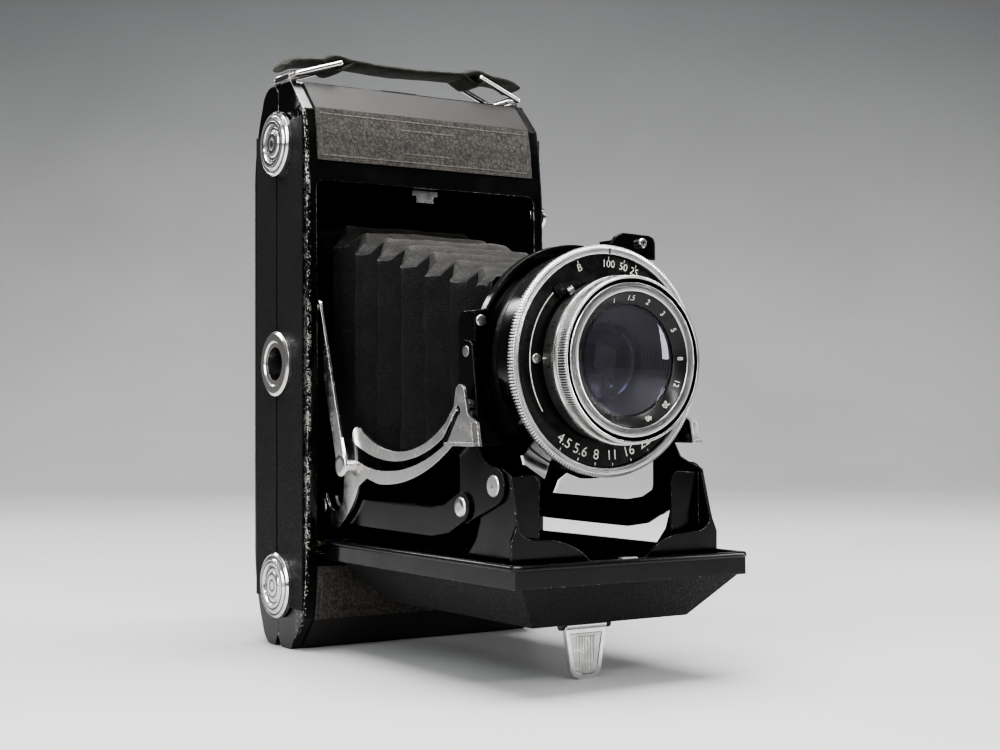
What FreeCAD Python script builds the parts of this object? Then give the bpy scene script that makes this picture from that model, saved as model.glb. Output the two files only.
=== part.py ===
import FreeCAD, Part
import Sketcher
import math
import os
import re
from types import SimpleNamespace
from FreeCAD import Vector

# Folding roll-film camera, standing open on its end. Millimetres.
# Every sub-part is drawn in the body's own frame: X across, Y to the back from the
# front plane, Z up from mid height. Its Placement then moves it to the row frame,
# whose origin is on the flat lower end face of the front shell.

os.makedirs("parts", exist_ok=True)
doc = FreeCAD.newDocument("folding_camera")

SIZES = {
    "half_width": 39.0, "half_height": 79.5, "origin_y": 14.4, "spool_y": 18.0, "spool_z": 62.2,
    "front_y": 0.4, "split_y": 19.2, "split_gap": 0.15, "back_y": 35.2, "wall": 1.3,
    "open_x": 36.0, "open_z": 50.4, "deep_z": 47.9, "deep_y": 8.4, "leather": 0.5,
    "gate_y": 27.4, "gate_thick": 1.0, "gate_x": 28.0, "gate_z": 42.5,
    "hinge_z": 78.1, "knuckle_r": 1.35, "back_pin_r": 0.8, "running": 0.06,
    "disc_r": 9.15, "spindle_r": 2.95, "socket_r": 4.75, "socket_flange_r": 9.15,
    "spool_core_r": 5.5, "spool_flange_r": 12.4, "spool_half": 32.5,
    "bed_y": 4.0, "bed_z": 50.0, "bed_x": 34.0, "bed_rim_z": 48.5, "bed_low_z": 54.0,
    "bed_front_y": 95.0, "bed_wall": 1.1, "bed_pan_z": 64.3, "skin": 0.7,
    "leg_y": 79.5, "leg_z": 31.2, "wrist_y": 67.5, "wrist_z": 0.8,
    "brace_y": 66.3, "brace_z": 36.7, "brace_foot_y": 7.5, "brace_foot_z": 39.7,
    "ear_x": 28.4, "ear_t": 0.7, "leg_x": 29.3, "leg_t": 0.7, "arm_x": 30.2, "arm_t": 0.7,
    "strut_x": 31.8, "strut_t": 0.8, "rod_x": 34.2, "rod_t": 0.8,
    "rod_y": 3.3, "rod_z": 15.3, "elbow_y": 11.5, "elbow_z": 28.0,
    "lens_z": 1.6, "plate_y": 70.0, "plate_t": 1.2, "plate_r": 29.3,
    "case_r": 25.7,
    "foot_y": 74.0, "foot_z": 66.2, "foot_t": 1.4,
    "bed_pin_r": 1.0, "hip_pin_r": 1.3, "wrist_pin_r": 0.8, "root_pin_r": 1.2, "elbow_pin_r": 1.5, "rod_pin_r": 0.9,
    "lug_x": 37.0, "lug_z": 81.4, "wire_r": 0.8, "ring_long": 14.2, "rise_left": 18.0, "rise_right": 22.4,
    "lever_angle": 212.0,
}
sheet = doc.addObject("Spreadsheet::Sheet", "sheet")
for row, (alias, value) in enumerate(SIZES.items(), start=1):
    sheet.set("A%d" % row, alias)
    sheet.set("B%d" % row, str(value))
    sheet.setAlias("B%d" % row, alias)
doc.recompute()
d = SimpleNamespace(**{alias: float(sheet.get(alias)) for alias in SIZES})

X_AXIS, Y_AXIS, Z_AXIS = Vector(1, 0, 0), Vector(0, 1, 0), Vector(0, 0, 1)
NODES = []


def link(text):
    """Turn an expression in plain alias words into one that reads the sheet."""
    return re.sub(r"[a-z]\w*", lambda word: "sheet." + word.group(), str(text))


def place(thing, label):
    """Name a finished sub-part and move it from the body's frame to the row frame."""
    thing.Label = label
    thing.setExpression("Placement.Base.y", "-sheet.origin_y")
    thing.setExpression("Placement.Base.z", "sheet.half_height")
    NODES.append(thing)
    return thing


def new_body(label, node=True):
    body = doc.addObject("PartDesign::Body", label)
    return place(body, label) if node else body


def pair(label, build):
    """A right-hand and a left-hand piece, each its own body, as one sub-part."""
    both = doc.addObject("Part::Compound", label)
    both.Links = [build(side) for side in (1, -1)]
    return place(both, label)


def plane_of(body, role):
    return next(item for item in body.Origin.OriginFeatures if item.Role == role)


def sketch_on(body, role, start, shift=("0", "0")):
    """A sketch on one origin plane, moved out along its normal by start."""
    sketch = body.newObject("Sketcher::SketchObject", "Sketch")
    sketch.AttachmentSupport = [(plane_of(body, role), "")]
    sketch.MapMode = "FlatFace"
    for name, text in zip("xyz", (shift[0], shift[1], start)):
        sketch.setExpression("AttachmentOffset.Base." + name, link(text))
    return sketch


def draw(sketch, path):
    """Closed outline: plain points join by lines, ("arc", middle, end) by an arc."""
    first = last = Vector(path[0][0], path[0][1], 0)
    geometry = []
    for step in list(path[1:]) + [path[0]]:
        if step[0] == "arc":
            middle, end = (Vector(point[0], point[1], 0) for point in step[1:])
            geometry.append(Part.Arc(last, middle, end))
        else:
            end = Vector(step[0], step[1], 0)
            if end.distanceToPoint(last) < 1e-6:
                continue
            geometry.append(Part.LineSegment(last, end))
        last = end
    assert last.distanceToPoint(first) < 1e-6
    sketch.addGeometry(geometry, False)


def circle(sketch, x, y, radius):
    """A circle whose radius follows the sheet."""
    index = sketch.addGeometry(Part.Circle(Vector(x, y, 0), Z_AXIS, 1.0), False)
    number = sketch.addConstraint(Sketcher.Constraint("Radius", index, 1.0))
    sketch.setExpression("Constraints[%d]" % number, link(radius))


def pad(body, role, start, length, paths, cut=False, circles=()):
    """Fill (or cut) the outlines from start along the plane's normal."""
    before = body.Shape.Volume if cut else 0.0
    sketch = sketch_on(body, role, start)
    for path in paths:
        draw(sketch, path)
    for x, y, radius in circles:
        circle(sketch, x, y, radius)
    doc.recompute()
    feature = body.newObject("PartDesign::Pocket" if cut else "PartDesign::Pad", "Feature")
    feature.Profile = sketch
    feature.Length = 1.0
    feature.Reversed = cut
    feature.setExpression("Length", link(length))
    doc.recompute()
    if cut:
        assert body.Shape.Volume < before - 1e-4, body.Label + ": a cut missed"
    return feature


def turn(body, role, shift, path, start="0", cut=False):
    """Revolve a profile of (along, radius) points about the sketch's own X line."""
    sketch = sketch_on(body, role, start, shift)
    draw(sketch, path)
    doc.recompute()
    kind = "PartDesign::Groove" if cut else "PartDesign::Revolution"
    feature = body.newObject(kind, "Feature")
    feature.Profile = sketch
    feature.ReferenceAxis = (sketch, ["H_Axis"])
    feature.Angle = 360.0
    doc.recompute()
    return feature


def turned_x(label, y, z, path):
    """A turned piece about a line along X through (y, z), profile (x, radius)."""
    body = new_body(label)
    turn(body, "XY_Plane", ("0", y), path, start=z)
    return body


def turned_lens(label, path):
    """A turned piece about the lens axis, profile (y, radius)."""
    body = new_body(label)
    turn(body, "YZ_Plane", ("0", "-lens_z"), path)
    return body


def side_plate(label, side, inner, thick, path, holes=()):
    """A flat plate in a plane across X, drawn in (y, z)."""
    body = new_body(label + ("_right" if side > 0 else "_left"), node=False)
    start = inner if side > 0 else "-(%s) - (%s)" % (inner, thick)
    pad(body, "YZ_Plane", start, thick, [path], circles=holes)
    return body


def rectangle(x0, y0, x1, y1, r=0.0):
    if r <= 0:
        return [(x0, y0), (x1, y0), (x1, y1), (x0, y1)]
    k = r * (1 - math.sqrt(0.5))
    return [(x0 + r, y0), (x1 - r, y0), ("arc", (x1 - k, y0 + k), (x1, y0 + r)),
            (x1, y1 - r), ("arc", (x1 - k, y1 - k), (x1 - r, y1)),
            (x0 + r, y1), ("arc", (x0 + k, y1 - k), (x0, y1 - r)),
            (x0, y0 + r), ("arc", (x0 + k, y0 + k), (x0 + r, y0))]



def bar(points, width):
    """A bar of even width with round ends along a line of points."""
    half = width / 2
    left, right = [], []
    for index, (x, y) in enumerate(points):
        a = points[max(index - 1, 0)]
        b = points[min(index + 1, len(points) - 1)]
        dx, dy = b[0] - a[0], b[1] - a[1]
        span = math.hypot(dx, dy)
        nx, ny = -dy / span * half, dx / span * half
        left.append((x + nx, y + ny))
        right.append((x - nx, y - ny))
    tips = []
    for inner, outer in ((points[-2], points[-1]), (points[1], points[0])):
        dx, dy = outer[0] - inner[0], outer[1] - inner[1]
        span = math.hypot(dx, dy)
        tips.append((outer[0] + dx / span * half, outer[1] + dy / span * half))
    return right + [("arc", tips[0], left[-1])] + left[-2::-1] + [("arc", tips[1], right[0])]


def solid_turned(centre, axis, path):
    """A loose turned solid, profile (along, radius) from centre along axis."""
    points = [Vector(a, r, 0) for a, r in path] + [Vector(path[0][0], path[0][1], 0)]
    solid = Part.Face(Part.makePolygon(points)).revolve(Vector(0, 0, 0), X_AXIS, 360)
    solid.Placement = FreeCAD.Placement(Vector(*centre), FreeCAD.Rotation(X_AXIS, Vector(*axis)))
    return solid



def screw(x, y, z, radius, head=0.7, shank=1.5):
    """Cheese-head screw facing the front, head from y outwards, with its slot."""
    path = [(-shank, 0), (-shank, radius * 0.55), (0, radius * 0.55), (0, radius),
            (head * 0.7, radius), (head, radius * 0.82), (head, 0)]
    solid = solid_turned((x, y, z), (0, -1, 0), path)
    slot = Part.makeBox(radius * 3, head, radius * 0.3,
                        Vector(x - radius * 1.5, y - head * 1.5, z - radius * 0.15))
    return solid.cut(slot)


def group(label, shapes):
    """Several loose solids as one named sub-part."""
    thing = doc.addObject("Part::Feature", label)
    single = len(shapes) == 1 and shapes[0].Placement.isIdentity()
    thing.Shape = shapes[0] if single else Part.makeCompound(shapes)
    return place(thing, label)


def prism_x(path, x0, x1):
    wire = Part.makePolygon([Vector(x0, y, z) for y, z in path + [path[0]]])
    return Part.Face(wire).extrude(Vector(x1 - x0, 0, 0))


def box(x0, x1, y0, y1, z0, z1):
    return Part.makeBox(x1 - x0, y1 - y0, z1 - z0, Vector(x0, y0, z0))


def rod_x(x0, x1, y, z, radius):
    return Part.makeCylinder(radius, x1 - x0, Vector(x0, y, z), X_AXIS)


# ---------------------------------------------------------------- body and back


def body_shell():
    body = new_body("body_shell")
    h, split = d.half_height, d.split_y
    upper = [(d.front_y, 0), (1.0, 50), (2.4, 64), (3.6, 70.5), (11.8, h), (split - 2.2, h),
             (split, h - 2.2)]
    pad(body, "YZ_Plane", "-half_width", "2 * half_width", [upper + [(y, -z) for y, z in upper[:0:-1]]])
    pad(body, "XZ_Plane", "-deep_y", "deep_y + 5", [rectangle(-d.open_x, -d.open_z, d.open_x, d.open_z, 2.5)],
        cut=True)
    pad(body, "XZ_Plane", "-split_y - 1", "split_y + 1 - deep_y + 0.1",
        [rectangle(-d.open_x, -d.deep_z, d.open_x, d.deep_z, 2.0)], cut=True)
    for side in (1, -1):
        reach = 13.2
        def arc_z(y):
            return d.spool_z - math.sqrt(reach ** 2 - (y - d.spool_y) ** 2)
        chamber = [(split + 1, 78.1), (12.4, 78.1), (5.0, 70.0), (3.8, 64.0), (3.4, 56.5),
                   (8.0, arc_z(8.0)), ("arc", (d.spool_y - 4, arc_z(14.0)), (split + 1, arc_z(split + 1)))]
        chamber = [("arc",) + tuple((y, side * z) for y, z in p[1:]) if p[0] == "arc"
                   else (p[0], side * p[1]) for p in chamber]
        pad(body, "YZ_Plane", "-half_width + wall", "2 * (half_width - wall)", [chamber], cut=True)
        shelf = [(split - 0.5, side * d.deep_z), (26.6, side * d.deep_z), (26.6, side * arc_z(26.6)),
                 ("arc", (23.0, side * arc_z(23.0)), (split - 0.5, side * arc_z(split - 0.5)))]
        pad(body, "YZ_Plane", "-open_x - 1.3", "2 * (open_x + 1.3)", [shelf])
    for side in (1, -1):
        start = d.open_x if side > 0 else -d.open_x - 1.3
        pad(body, "YZ_Plane", start, "1.3",
            [rectangle(split - 1, -52, d.gate_y, 52)])
    spindle = "spindle_r + 0.15"
    holes = [(d.spool_y, d.spool_z, spindle), (d.spool_y, -d.spool_z, spindle)]
    pad(body, "YZ_Plane", "-half_width - 1", "4", [], cut=True, circles=holes + [(d.spool_y, 0, "6.4")])
    pad(body, "YZ_Plane", "half_width - 3", "4", [], cut=True, circles=holes[1:])
    pad(body, "YZ_Plane", "open_x - 1", "5", [], cut=True, circles=[(5.0, 45.0, "2.2")])
    pad(body, "YZ_Plane", "-20.1", "40.2", [], cut=True, circles=[(split, -d.hinge_z, "knuckle_r + 0.3")])
    for side in (1, -1):
        start = d.open_x - 1 if side > 0 else -d.open_x - 1.7
        pad(body, "YZ_Plane", start, "2.7", [], cut=True,
            circles=[(d.bed_y, -d.bed_z, "bed_pin_r + 0.02"), (d.rod_y, d.rod_z, "rod_pin_r + running")])
        low, high = (20.2, 38.0) if side > 0 else (-38.0, -20.2)
        pad(body, "YZ_Plane", low, high - low, [], circles=[(split, -d.hinge_z, "knuckle_r")])
    pad(body, "YZ_Plane", "-half_width", "2 * half_width", [], cut=True,
        circles=[(split, -d.hinge_z, "back_pin_r + 0.02")])
    for side in (1, -1):
        lug = [(8.4, -d.deep_z - 0.4), (6.0, -45.4), (5.8, -43.0), (3.6, -39.4), (5.6, -36.8), (9.8, -36.8), (11.6, -39.4), (11.6, -d.deep_z - 0.4)]
        low = 29.3 if side > 0 else -30.0
        pad(body, "YZ_Plane", low, "0.7", [lug])
        pad(body, "YZ_Plane", low - 0.2, "1.1", [], cut=True,
            circles=[(d.brace_foot_y, -d.brace_foot_z, "root_pin_r + running")])
    pad(body, "YZ_Plane", "29.6", "half_width - wall - 29.5", [], circles=[(d.spool_y, d.spool_z, "spindle_r")])
    # pockets that clear the bed's two pivot ears
    for side in (1, -1):
        low = d.open_x - 4.2 if side > 0 else -d.open_x
        pad(body, "YZ_Plane", low, "4.2", [rectangle(-1.0, -52.4, 7.0, -50)], cut=True)


def back_cover():
    body = new_body("back_cover")
    h, split, back = d.half_height, d.split_y + d.split_gap, d.back_y
    upper = [(split, h - 2.2), (split + 2.2, h), (24.0, h), ("arc", (27.4, 78.2), (30.0, 74.2)),
             ("arc", (34.0, 63.0), (back, 50))]
    lower = [(back, -50), ("arc", (34.0, -63.0), (30.0, -74.2)), ("arc", (27.4, -78.2), (24.0, -h)),
             (split + 2.2, -h), (split, 2.2 - h)]
    pad(body, "YZ_Plane", "-half_width", "2 * half_width", [upper + lower])
    b = back - d.wall
    inner = [(split - 1, 77.2), (24.0, 77.2), ("arc", (26.7, 76.6), (28.8, 73.3)),
             ("arc", (32.8, 62.6), (b, 49)), (b, -49), ("arc", (32.8, -62.6), (28.8, -73.3)),
             ("arc", (26.7, -76.6), (24.0, -77.2)), (split - 1, -77.2)]
    pad(body, "YZ_Plane", "-half_width + wall", "2 * (half_width - wall)", [inner], cut=True)
    spindle = "spindle_r + 0.6"
    notches = [(d.spool_y, z, spindle) for z in (d.spool_z, -d.spool_z)]
    pad(body, "YZ_Plane", "-half_width - 1", "4", [], cut=True, circles=notches + [(d.spool_y, 0, "7.2")])
    pad(body, "YZ_Plane", "half_width - 3", "4", [], cut=True, circles=notches[1:])
    pad(body, "YZ_Plane", "half_width - wall - 0.1", "0.4", [], cut=True, circles=notches[:1])
    pad(body, "XZ_Plane", "-back_y - 1", "5", [], cut=True, circles=[(0, 24.0, "5.0")])
    pad(body, "YZ_Plane", "-19.8", "39.6", [], circles=[(d.split_y, -d.hinge_z, "knuckle_r")])
    pad(body, "YZ_Plane", "-half_width", "2 * half_width", [], cut=True,
        circles=[(d.split_y, -d.hinge_z, "back_pin_r + running")])
    for low in (-39.5, 20.0):
        pad(body, "YZ_Plane", low, "19.5", [], cut=True, circles=[(d.split_y, -d.hinge_z, "knuckle_r + 0.3")])


def back_hinge_pin():
    pin = doc.addObject("Part::Cylinder", "back_hinge_pin")
    pin.setExpression("Radius", "sheet.back_pin_r")
    pin.setExpression("Height", "2 * sheet.half_width - 2")
    pin.Placement.Rotation = FreeCAD.Rotation(Y_AXIS, 90)
    pin.setExpression("Placement.Base.x", "-sheet.half_width + 1")
    pin.Label = "back_hinge_pin"
    pin.setExpression("Placement.Base.y", "sheet.split_y - sheet.origin_y")
    pin.setExpression("Placement.Base.z", "sheet.half_height - sheet.hinge_z")
    NODES.append(pin)


def coverings():
    """Leather on the two end panels, the sides and the back."""
    inner = [(1.6, 56), (2.4, 64), (3.6, 70.5), (10.9, 78.515)]
    outer = [(10.35, 79.0), (3.1, 70.9), (1.8, 64.2), (1.0, 56)]
    panels = []
    for side in (1, -1):
        panels.append(prism_x([(y, side * z) for y, z in inner + outer], -35.5, 35.5))
    hw, t = d.half_width, d.leather
    holes = [rod_x(-hw - 2, -hw + 1, d.spool_y, 0, 6.9)]
    holes += [rod_x(-hw - 2, -hw + 1, d.spool_y, z, 3.6) for z in (d.spool_z, -d.spool_z)]
    left = box(-hw - t, -hw, 3.0, d.split_y - 0.3, -68, 68)
    right = box(hw, hw + t, 3.0, d.split_y - 0.3, -68, 68)
    right = right.cut(rod_x(hw - 1, hw + 2, 5.0, 45.0, 3.4)).cut(rod_x(hw - 1, hw + 2, d.spool_y, -d.spool_z, 10))
    right = right.cut(box(hw - 1, hw + 2, 1.0, 20.0, -13.0, 13.0))
    for hole in holes:
        left = left.cut(hole)
    group("body_leather", panels + [left, right])
    y0 = d.split_y + 0.5
    left = box(-hw - t, -hw, y0, 33.2, -66, 66)
    right = box(hw, hw + t, y0, 33.2, -66, 66).cut(rod_x(hw - 1, hw + 2, d.spool_y, -d.spool_z, 10))
    for hole in holes:
        left = left.cut(hole)
    rear = box(-37, 37, d.back_y, d.back_y + t, -49, 49).cut(box(-13, 25, 30, 40, 14, 34))
    group("back_leather", [left, right, rear])


def film_path():
    body = new_body("film_gate")
    windows = [rectangle(-37.2, -53, 37.2, 53, 1.0), rectangle(-d.gate_x, -d.gate_z, d.gate_x, d.gate_z, 0.6),
               rectangle(-31.6, 49.4, 31.6, 52.6), rectangle(-31.6, -52.6, 31.6, -49.4)]
    pad(body, "XZ_Plane", "-gate_y - gate_thick", "gate_thick", windows)
    for label, side in (("film_roller_upper", 1), ("film_roller_lower", -1)):
        turned_x(label, "gate_y + 0.9", "51 * %d" % side,
                 [(-31.3, 0), (-31.3, 0.6), (-30.4, 0.6), (-30.4, 1.4), (30.4, 1.4), (30.4, 0.6), (31.3, 0.6), (31.3, 0)])
    plate = new_body("pressure_plate")
    pad(plate, "XZ_Plane", "-gate_y - 2.6", "0.9", [rectangle(-30, -47, 30, 47, 3.0)])
    spring = new_body("pressure_spring")
    y0, y1 = d.gate_y + 2.7, d.back_y - d.wall
    lower = [(y0, -2), (y0, 2), (y1 - 0.4, 30), (y1, 30.0), (y0 + 0.4, 2.2), (y0 + 0.4, -2.2), (y1, -30), (y1 - 0.4, -30)]
    pad(spring, "YZ_Plane", "-9", "18", [lower])
    for label, side in (("supply_spool", 1), ("take_up_spool", -1)):
        half, core, rim = d.spool_half, d.spool_core_r, d.spool_flange_r
        bore = d.spindle_r + d.running
        turned_x(label, "spool_y", "spool_z * %d" % side,
                 [(-half, bore), (-half, rim), (1.1 - half, rim), (1.1 - half, core), (half - 1.1, core),
                  (half - 1.1, rim), (half, rim), (half, bore), (half - 4, bore), (half - 4, 0.0), (4 - half, 0.0), (4 - half, bore)])


def disc_profile(face, r, proud):
    """Stepped concentric face of a chrome disc, outwards along -X."""
    return [(face, r), (face - proud * 0.55, r), (face - proud * 0.8, r - 0.5), (face - proud * 0.8, r - 1.6),
            (face - proud, r - 2.0), (face - proud, r - 3.6), (face - proud * 0.75, r - 3.9),
            (face - proud * 0.75, r - 5.2), (face - proud * 0.95, r - 5.6), (face - proud * 0.95, 0)]


def knobs():
    face = -d.half_width - d.leather - 0.05
    for label, side in (("spool_knob_upper", 1), ("spool_knob_lower", -1)):
        turned_x(label, "spool_y", "spool_z * %d" % side,
                 [(-29.6, 0), (-29.6, d.spindle_r), (face, d.spindle_r)] + disc_profile(face, d.disc_r, 2.2))
    key = d.half_width + 0.9
    turned_x("winding_key", "spool_y", "-spool_z",
             [(29.6, 0), (29.6, d.spindle_r), (key, d.spindle_r), (key, 8.8), (key + 0.7, 9.2), (key + 5.4, 9.2),
              (key + 6.2, 8.4), (key + 6.2, 3.0), (key + 5.6, 2.6), (key + 5.6, 0)])
    wall = -d.half_width - d.leather - 0.05
    turned_x("tripod_socket", "spool_y", "0",
             [(-36.2, d.socket_r), (-36.2, 6.4), (wall, 6.4), (wall, d.socket_flange_r),
              (wall - 1.1, d.socket_flange_r), (wall - 1.6, d.socket_flange_r - 0.8), (wall - 1.6, 6.4),
              (wall - 1.2, 6.0), (wall - 1.2, d.socket_r)])
    turned_x("door_button", "5", "45",
             [(35.6, 0), (35.6, 3.0), (36.0, 3.0), (36.0, 2.1), (40.2, 2.1), (40.2, 3.1), (41.2, 3.1), (41.8, 2.4), (41.8, 0)])


def finder():
    hw = d.half_width
    base = box(hw, hw + 0.8, 2.6, 18.6, -12.6, 12.6)
    for z0, z1 in ((-12.6, -11.4), (11.4, 12.6)):
        base = base.fuse(box(hw + 0.7, hw + 2.6, 2.8, 4.6, z0, z1))
        pin = Part.makeCylinder(0.45, 1.6, Vector(hw + 1.7, 3.7, z0 if z0 > 0 else z1 - 0.2), Z_AXIS)
        base = base.fuse(pin.translated(Vector(0, 0, -1.0 if z0 > 0 else 0.0)))
    for z0, z1 in ((-6.2, -5.0), (5.0, 6.2)):
        base = base.fuse(box(hw + 0.7, hw + 2.6, 16.4, 18.4, z0, z1))
        pin = Part.makeCylinder(0.45, 1.6, Vector(hw + 1.7, 17.4, z0 if z0 > 0 else z1 - 0.2), Z_AXIS)
        base = base.fuse(pin.translated(Vector(0, 0, -1.0 if z0 > 0 else 0.0)))
    group("finder_base", [base.removeSplitter()])
    front = box(hw + 1.2, hw + 2.2, 4.3, 16.0, -11.2, 11.2).cut(box(hw, hw + 4, 6.6, 14.2, -9.0, 9.0))
    hinge = Part.makeCylinder(0.85, 22.4, Vector(hw + 1.7, 3.7, -11.2), Z_AXIS)
    hinge = hinge.cut(Part.makeCylinder(0.51, 30, Vector(hw + 1.7, 3.7, -15), Z_AXIS))
    group("finder_front", [front.fuse(hinge).removeSplitter()])
    rear = box(hw + 1.2, hw + 2.2, 18.0, 27.4, -4.8, 4.8).cut(
        Part.makeCylinder(2.2, 5, Vector(hw, 23.6, 0), X_AXIS))
    hinge = Part.makeCylinder(0.85, 9.6, Vector(hw + 1.7, 17.4, -4.8), Z_AXIS)
    hinge = hinge.cut(Part.makeCylinder(0.51, 30, Vector(hw + 1.7, 17.4, -15), Z_AXIS))
    group("finder_rear", [rear.fuse(hinge).removeSplitter()])


def back_fittings():
    back = d.back_y
    group("window_glass", [Part.makeCylinder(4.95, 1.0, Vector(0, back - 1.1, 24), Y_AXIS)])
    frame = box(-12, 24, back, back + 1.7, 15, 33).cut(box(-9, 21.5, back + 0.5, back + 1.3, 17, 31))
    frame = frame.cut(box(-7, 22, back + 1.2, back + 3, 18.5, 29.5)).cut(
        Part.makeCylinder(5.0, 5, Vector(0, back - 1, 24), Y_AXIS))
    group("window_frame", [frame])
    cover = box(-8.6, 8.6, back + 0.6, back + 1.2, 17.2, 30.8).fuse(box(-1.2, 1.2, back + 1.1, back + 2.4, 20, 28))
    group("window_cover", [cover.removeSplitter()])
    h = d.half_height
    latch = box(-9, 9, 15.6, 25.5, h, h + 0.9).fuse(box(-6, 6, 19.0, 21.0, h + 0.8, h + 1.9))
    group("back_latch", [latch.removeSplitter()])


def strap_parts():
    h = d.half_height
    lugs = []
    body = new_body("strap")
    path = [(-40.6, 83.4), (-39.4, 85.6), (-35.0, 86.6), ("arc", (0.0, 88.0), (34.0, 88.4)), (39.6, 87.8),
            (41.2, 85.8), (39.6, 84.8), (36.0, 85.8), ("arc", (0.0, 85.3), (-34.5, 84.0)), (-38.8, 83.6)]
    pad(body, "XZ_Plane", "-spool_y - 5.8", "11.6", [path])
    for side, rise in ((1, d.rise_right), (-1, d.rise_left)):
        x, z = side * d.lug_x, d.lug_z
        lug = Part.makeCylinder(1.5, 9.0, Vector(x, 13.5, z), Y_AXIS)
        foot = box(min(x, x + side * 1.5), max(x, x + side * 1.5), 13.5, 22.5, h, z)
        foot = foot.fuse(box(min(x - side * 2, x + side * 2), max(x - side * 2, x + side * 2), 13.5, 22.5, h, h + 0.6))
        bore = Part.makeCylinder(d.wire_r + 0.08, 30, Vector(x, 5, z), Y_AXIS)
        lugs.append(lug.fuse(foot).cut(bore).removeSplitter())
        tilt = math.radians(rise)
        far_x, far_z = x - side * d.ring_long * math.cos(tilt), z + d.ring_long * math.sin(tilt)
        corners = [Vector(x, 10.8, z), Vector(x, 25.2, z), Vector(far_x, 25.2, far_z), Vector(far_x, 10.8, far_z)]
        wire = None
        for a, b in zip(corners, corners[1:] + corners[:1]):
            piece = Part.makeCylinder(d.wire_r, (b - a).Length, a, b - a).fuse(Part.makeSphere(d.wire_r, a))
            wire = piece if wire is None else wire.fuse(piece)
        group("ring_right" if side > 0 else "ring_left", [wire])
        pad(body, "XZ_Plane", "-spool_y - 5.8", "11.6",
            [rectangle(far_x - 3.2, far_z - 2.3, far_x + 3.2, far_z + 2.3, 1.4)])
        pad(body, "XZ_Plane", "-spool_y - 6", "12", [], cut=True, circles=[(far_x, far_z, "wire_r + 0.75")])
    group("strap_lugs", lugs)


# ---------------------------------------------------------------- bed and foot

def wedge(x, y0, y1, z_top, inset, z_low, slope):
    """Upside-down frustum: its wide face at z_top, its narrow face at z_low."""
    def corner(k, z):
        return [Vector(-x + k, y0 + k, z), Vector(x - k, y0 + k, z), Vector(x - k, y1 - k, z), Vector(-x + k, y1 - k, z)]
    top, low = corner(inset, z_top), corner(inset + slope, z_low)
    wires = [Part.makePolygon(ring + ring[:1]) for ring in (top, low)]
    return Part.makeLoft(wires, True, True)


def bed_parts():
    front, rear = -d.bed_front_y, -1.0
    rim, low = -d.bed_rim_z, -d.bed_low_z
    x, w = d.bed_x, d.bed_wall
    shell = box(-x, x, front, rear, low, rim).cut(box(-x + w, x - w, front + w, rear + 1, low + 1.0, rim + 1))
    pan = wedge(32, front + 0.6, -6, low + 0.01, 0.7, -d.bed_pan_z + 0.7, 8.6)
    hollow = wedge(32, front + 0.6, -6, low + 1.2, 1.9, -d.bed_pan_z + 1.7, 8.4)
    shell = shell.fuse(pan).cut(hollow)
    shell = shell.fuse(box(-x + 2.6, x - 2.6, rear - 0.5, 2.6, -50.0, -48.6))
    shell = shell.fuse(box(-x + 2.6, x - 2.6, rear - 1.5, rear, low, -48.6))
    for side in (1, -1):
        inner = x - w if side > 0 else -x
        ear = prism_x([(rear - 3, low), (rear - 0.2, low), (-0.3, -51.4), (5.4, -51.4), (5.4, rim), (rear - 3, rim)],
                      inner, inner + w)
        shell = shell.fuse(ear)
    for side in (1, -1):
        shell = shell.cut(rod_x(side * x - 3, side * x + 3, d.bed_y, -d.bed_z, d.bed_pin_r + d.running))
    slots = [box(x0, x0 + 1.45, -11.6, -0.9, low - 1.4, low + 1.1) for x0 in (31.45, -32.9)]
    for slot in slots:
        shell = shell.cut(slot)
    group("bed_plate", [shell.removeSplitter()])
    skin = wedge(32, front + 0.6, -6, low, 0.0, -d.bed_pan_z, 9.0).cut(
        wedge(32, front + 0.6, -6, low + 0.01, 0.7, -d.bed_pan_z + 0.7, 8.6))
    for slot in slots:
        skin = skin.cut(slot)
    group("bed_leather", [skin])
    pins = []
    for side in (1, -1):
        path = [(0, 0), (0, 1.8), (0.2, 1.8), (0.2, d.bed_pin_r), (4.6, d.bed_pin_r), (4.6, 0)]
        pins.append(solid_turned((side * 32.66, d.bed_y, -d.bed_z), (side, 0, 0), path))
    group("bed_pivots", pins)
    catch = box(-3.0, 5.5, 5.8, d.deep_y, 48.9, d.open_z).fuse(box(-1.5, 4.0, 5.8, 7.0, 46.9, 49.4))
    group("door_catch", [catch.removeSplitter()])


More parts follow.
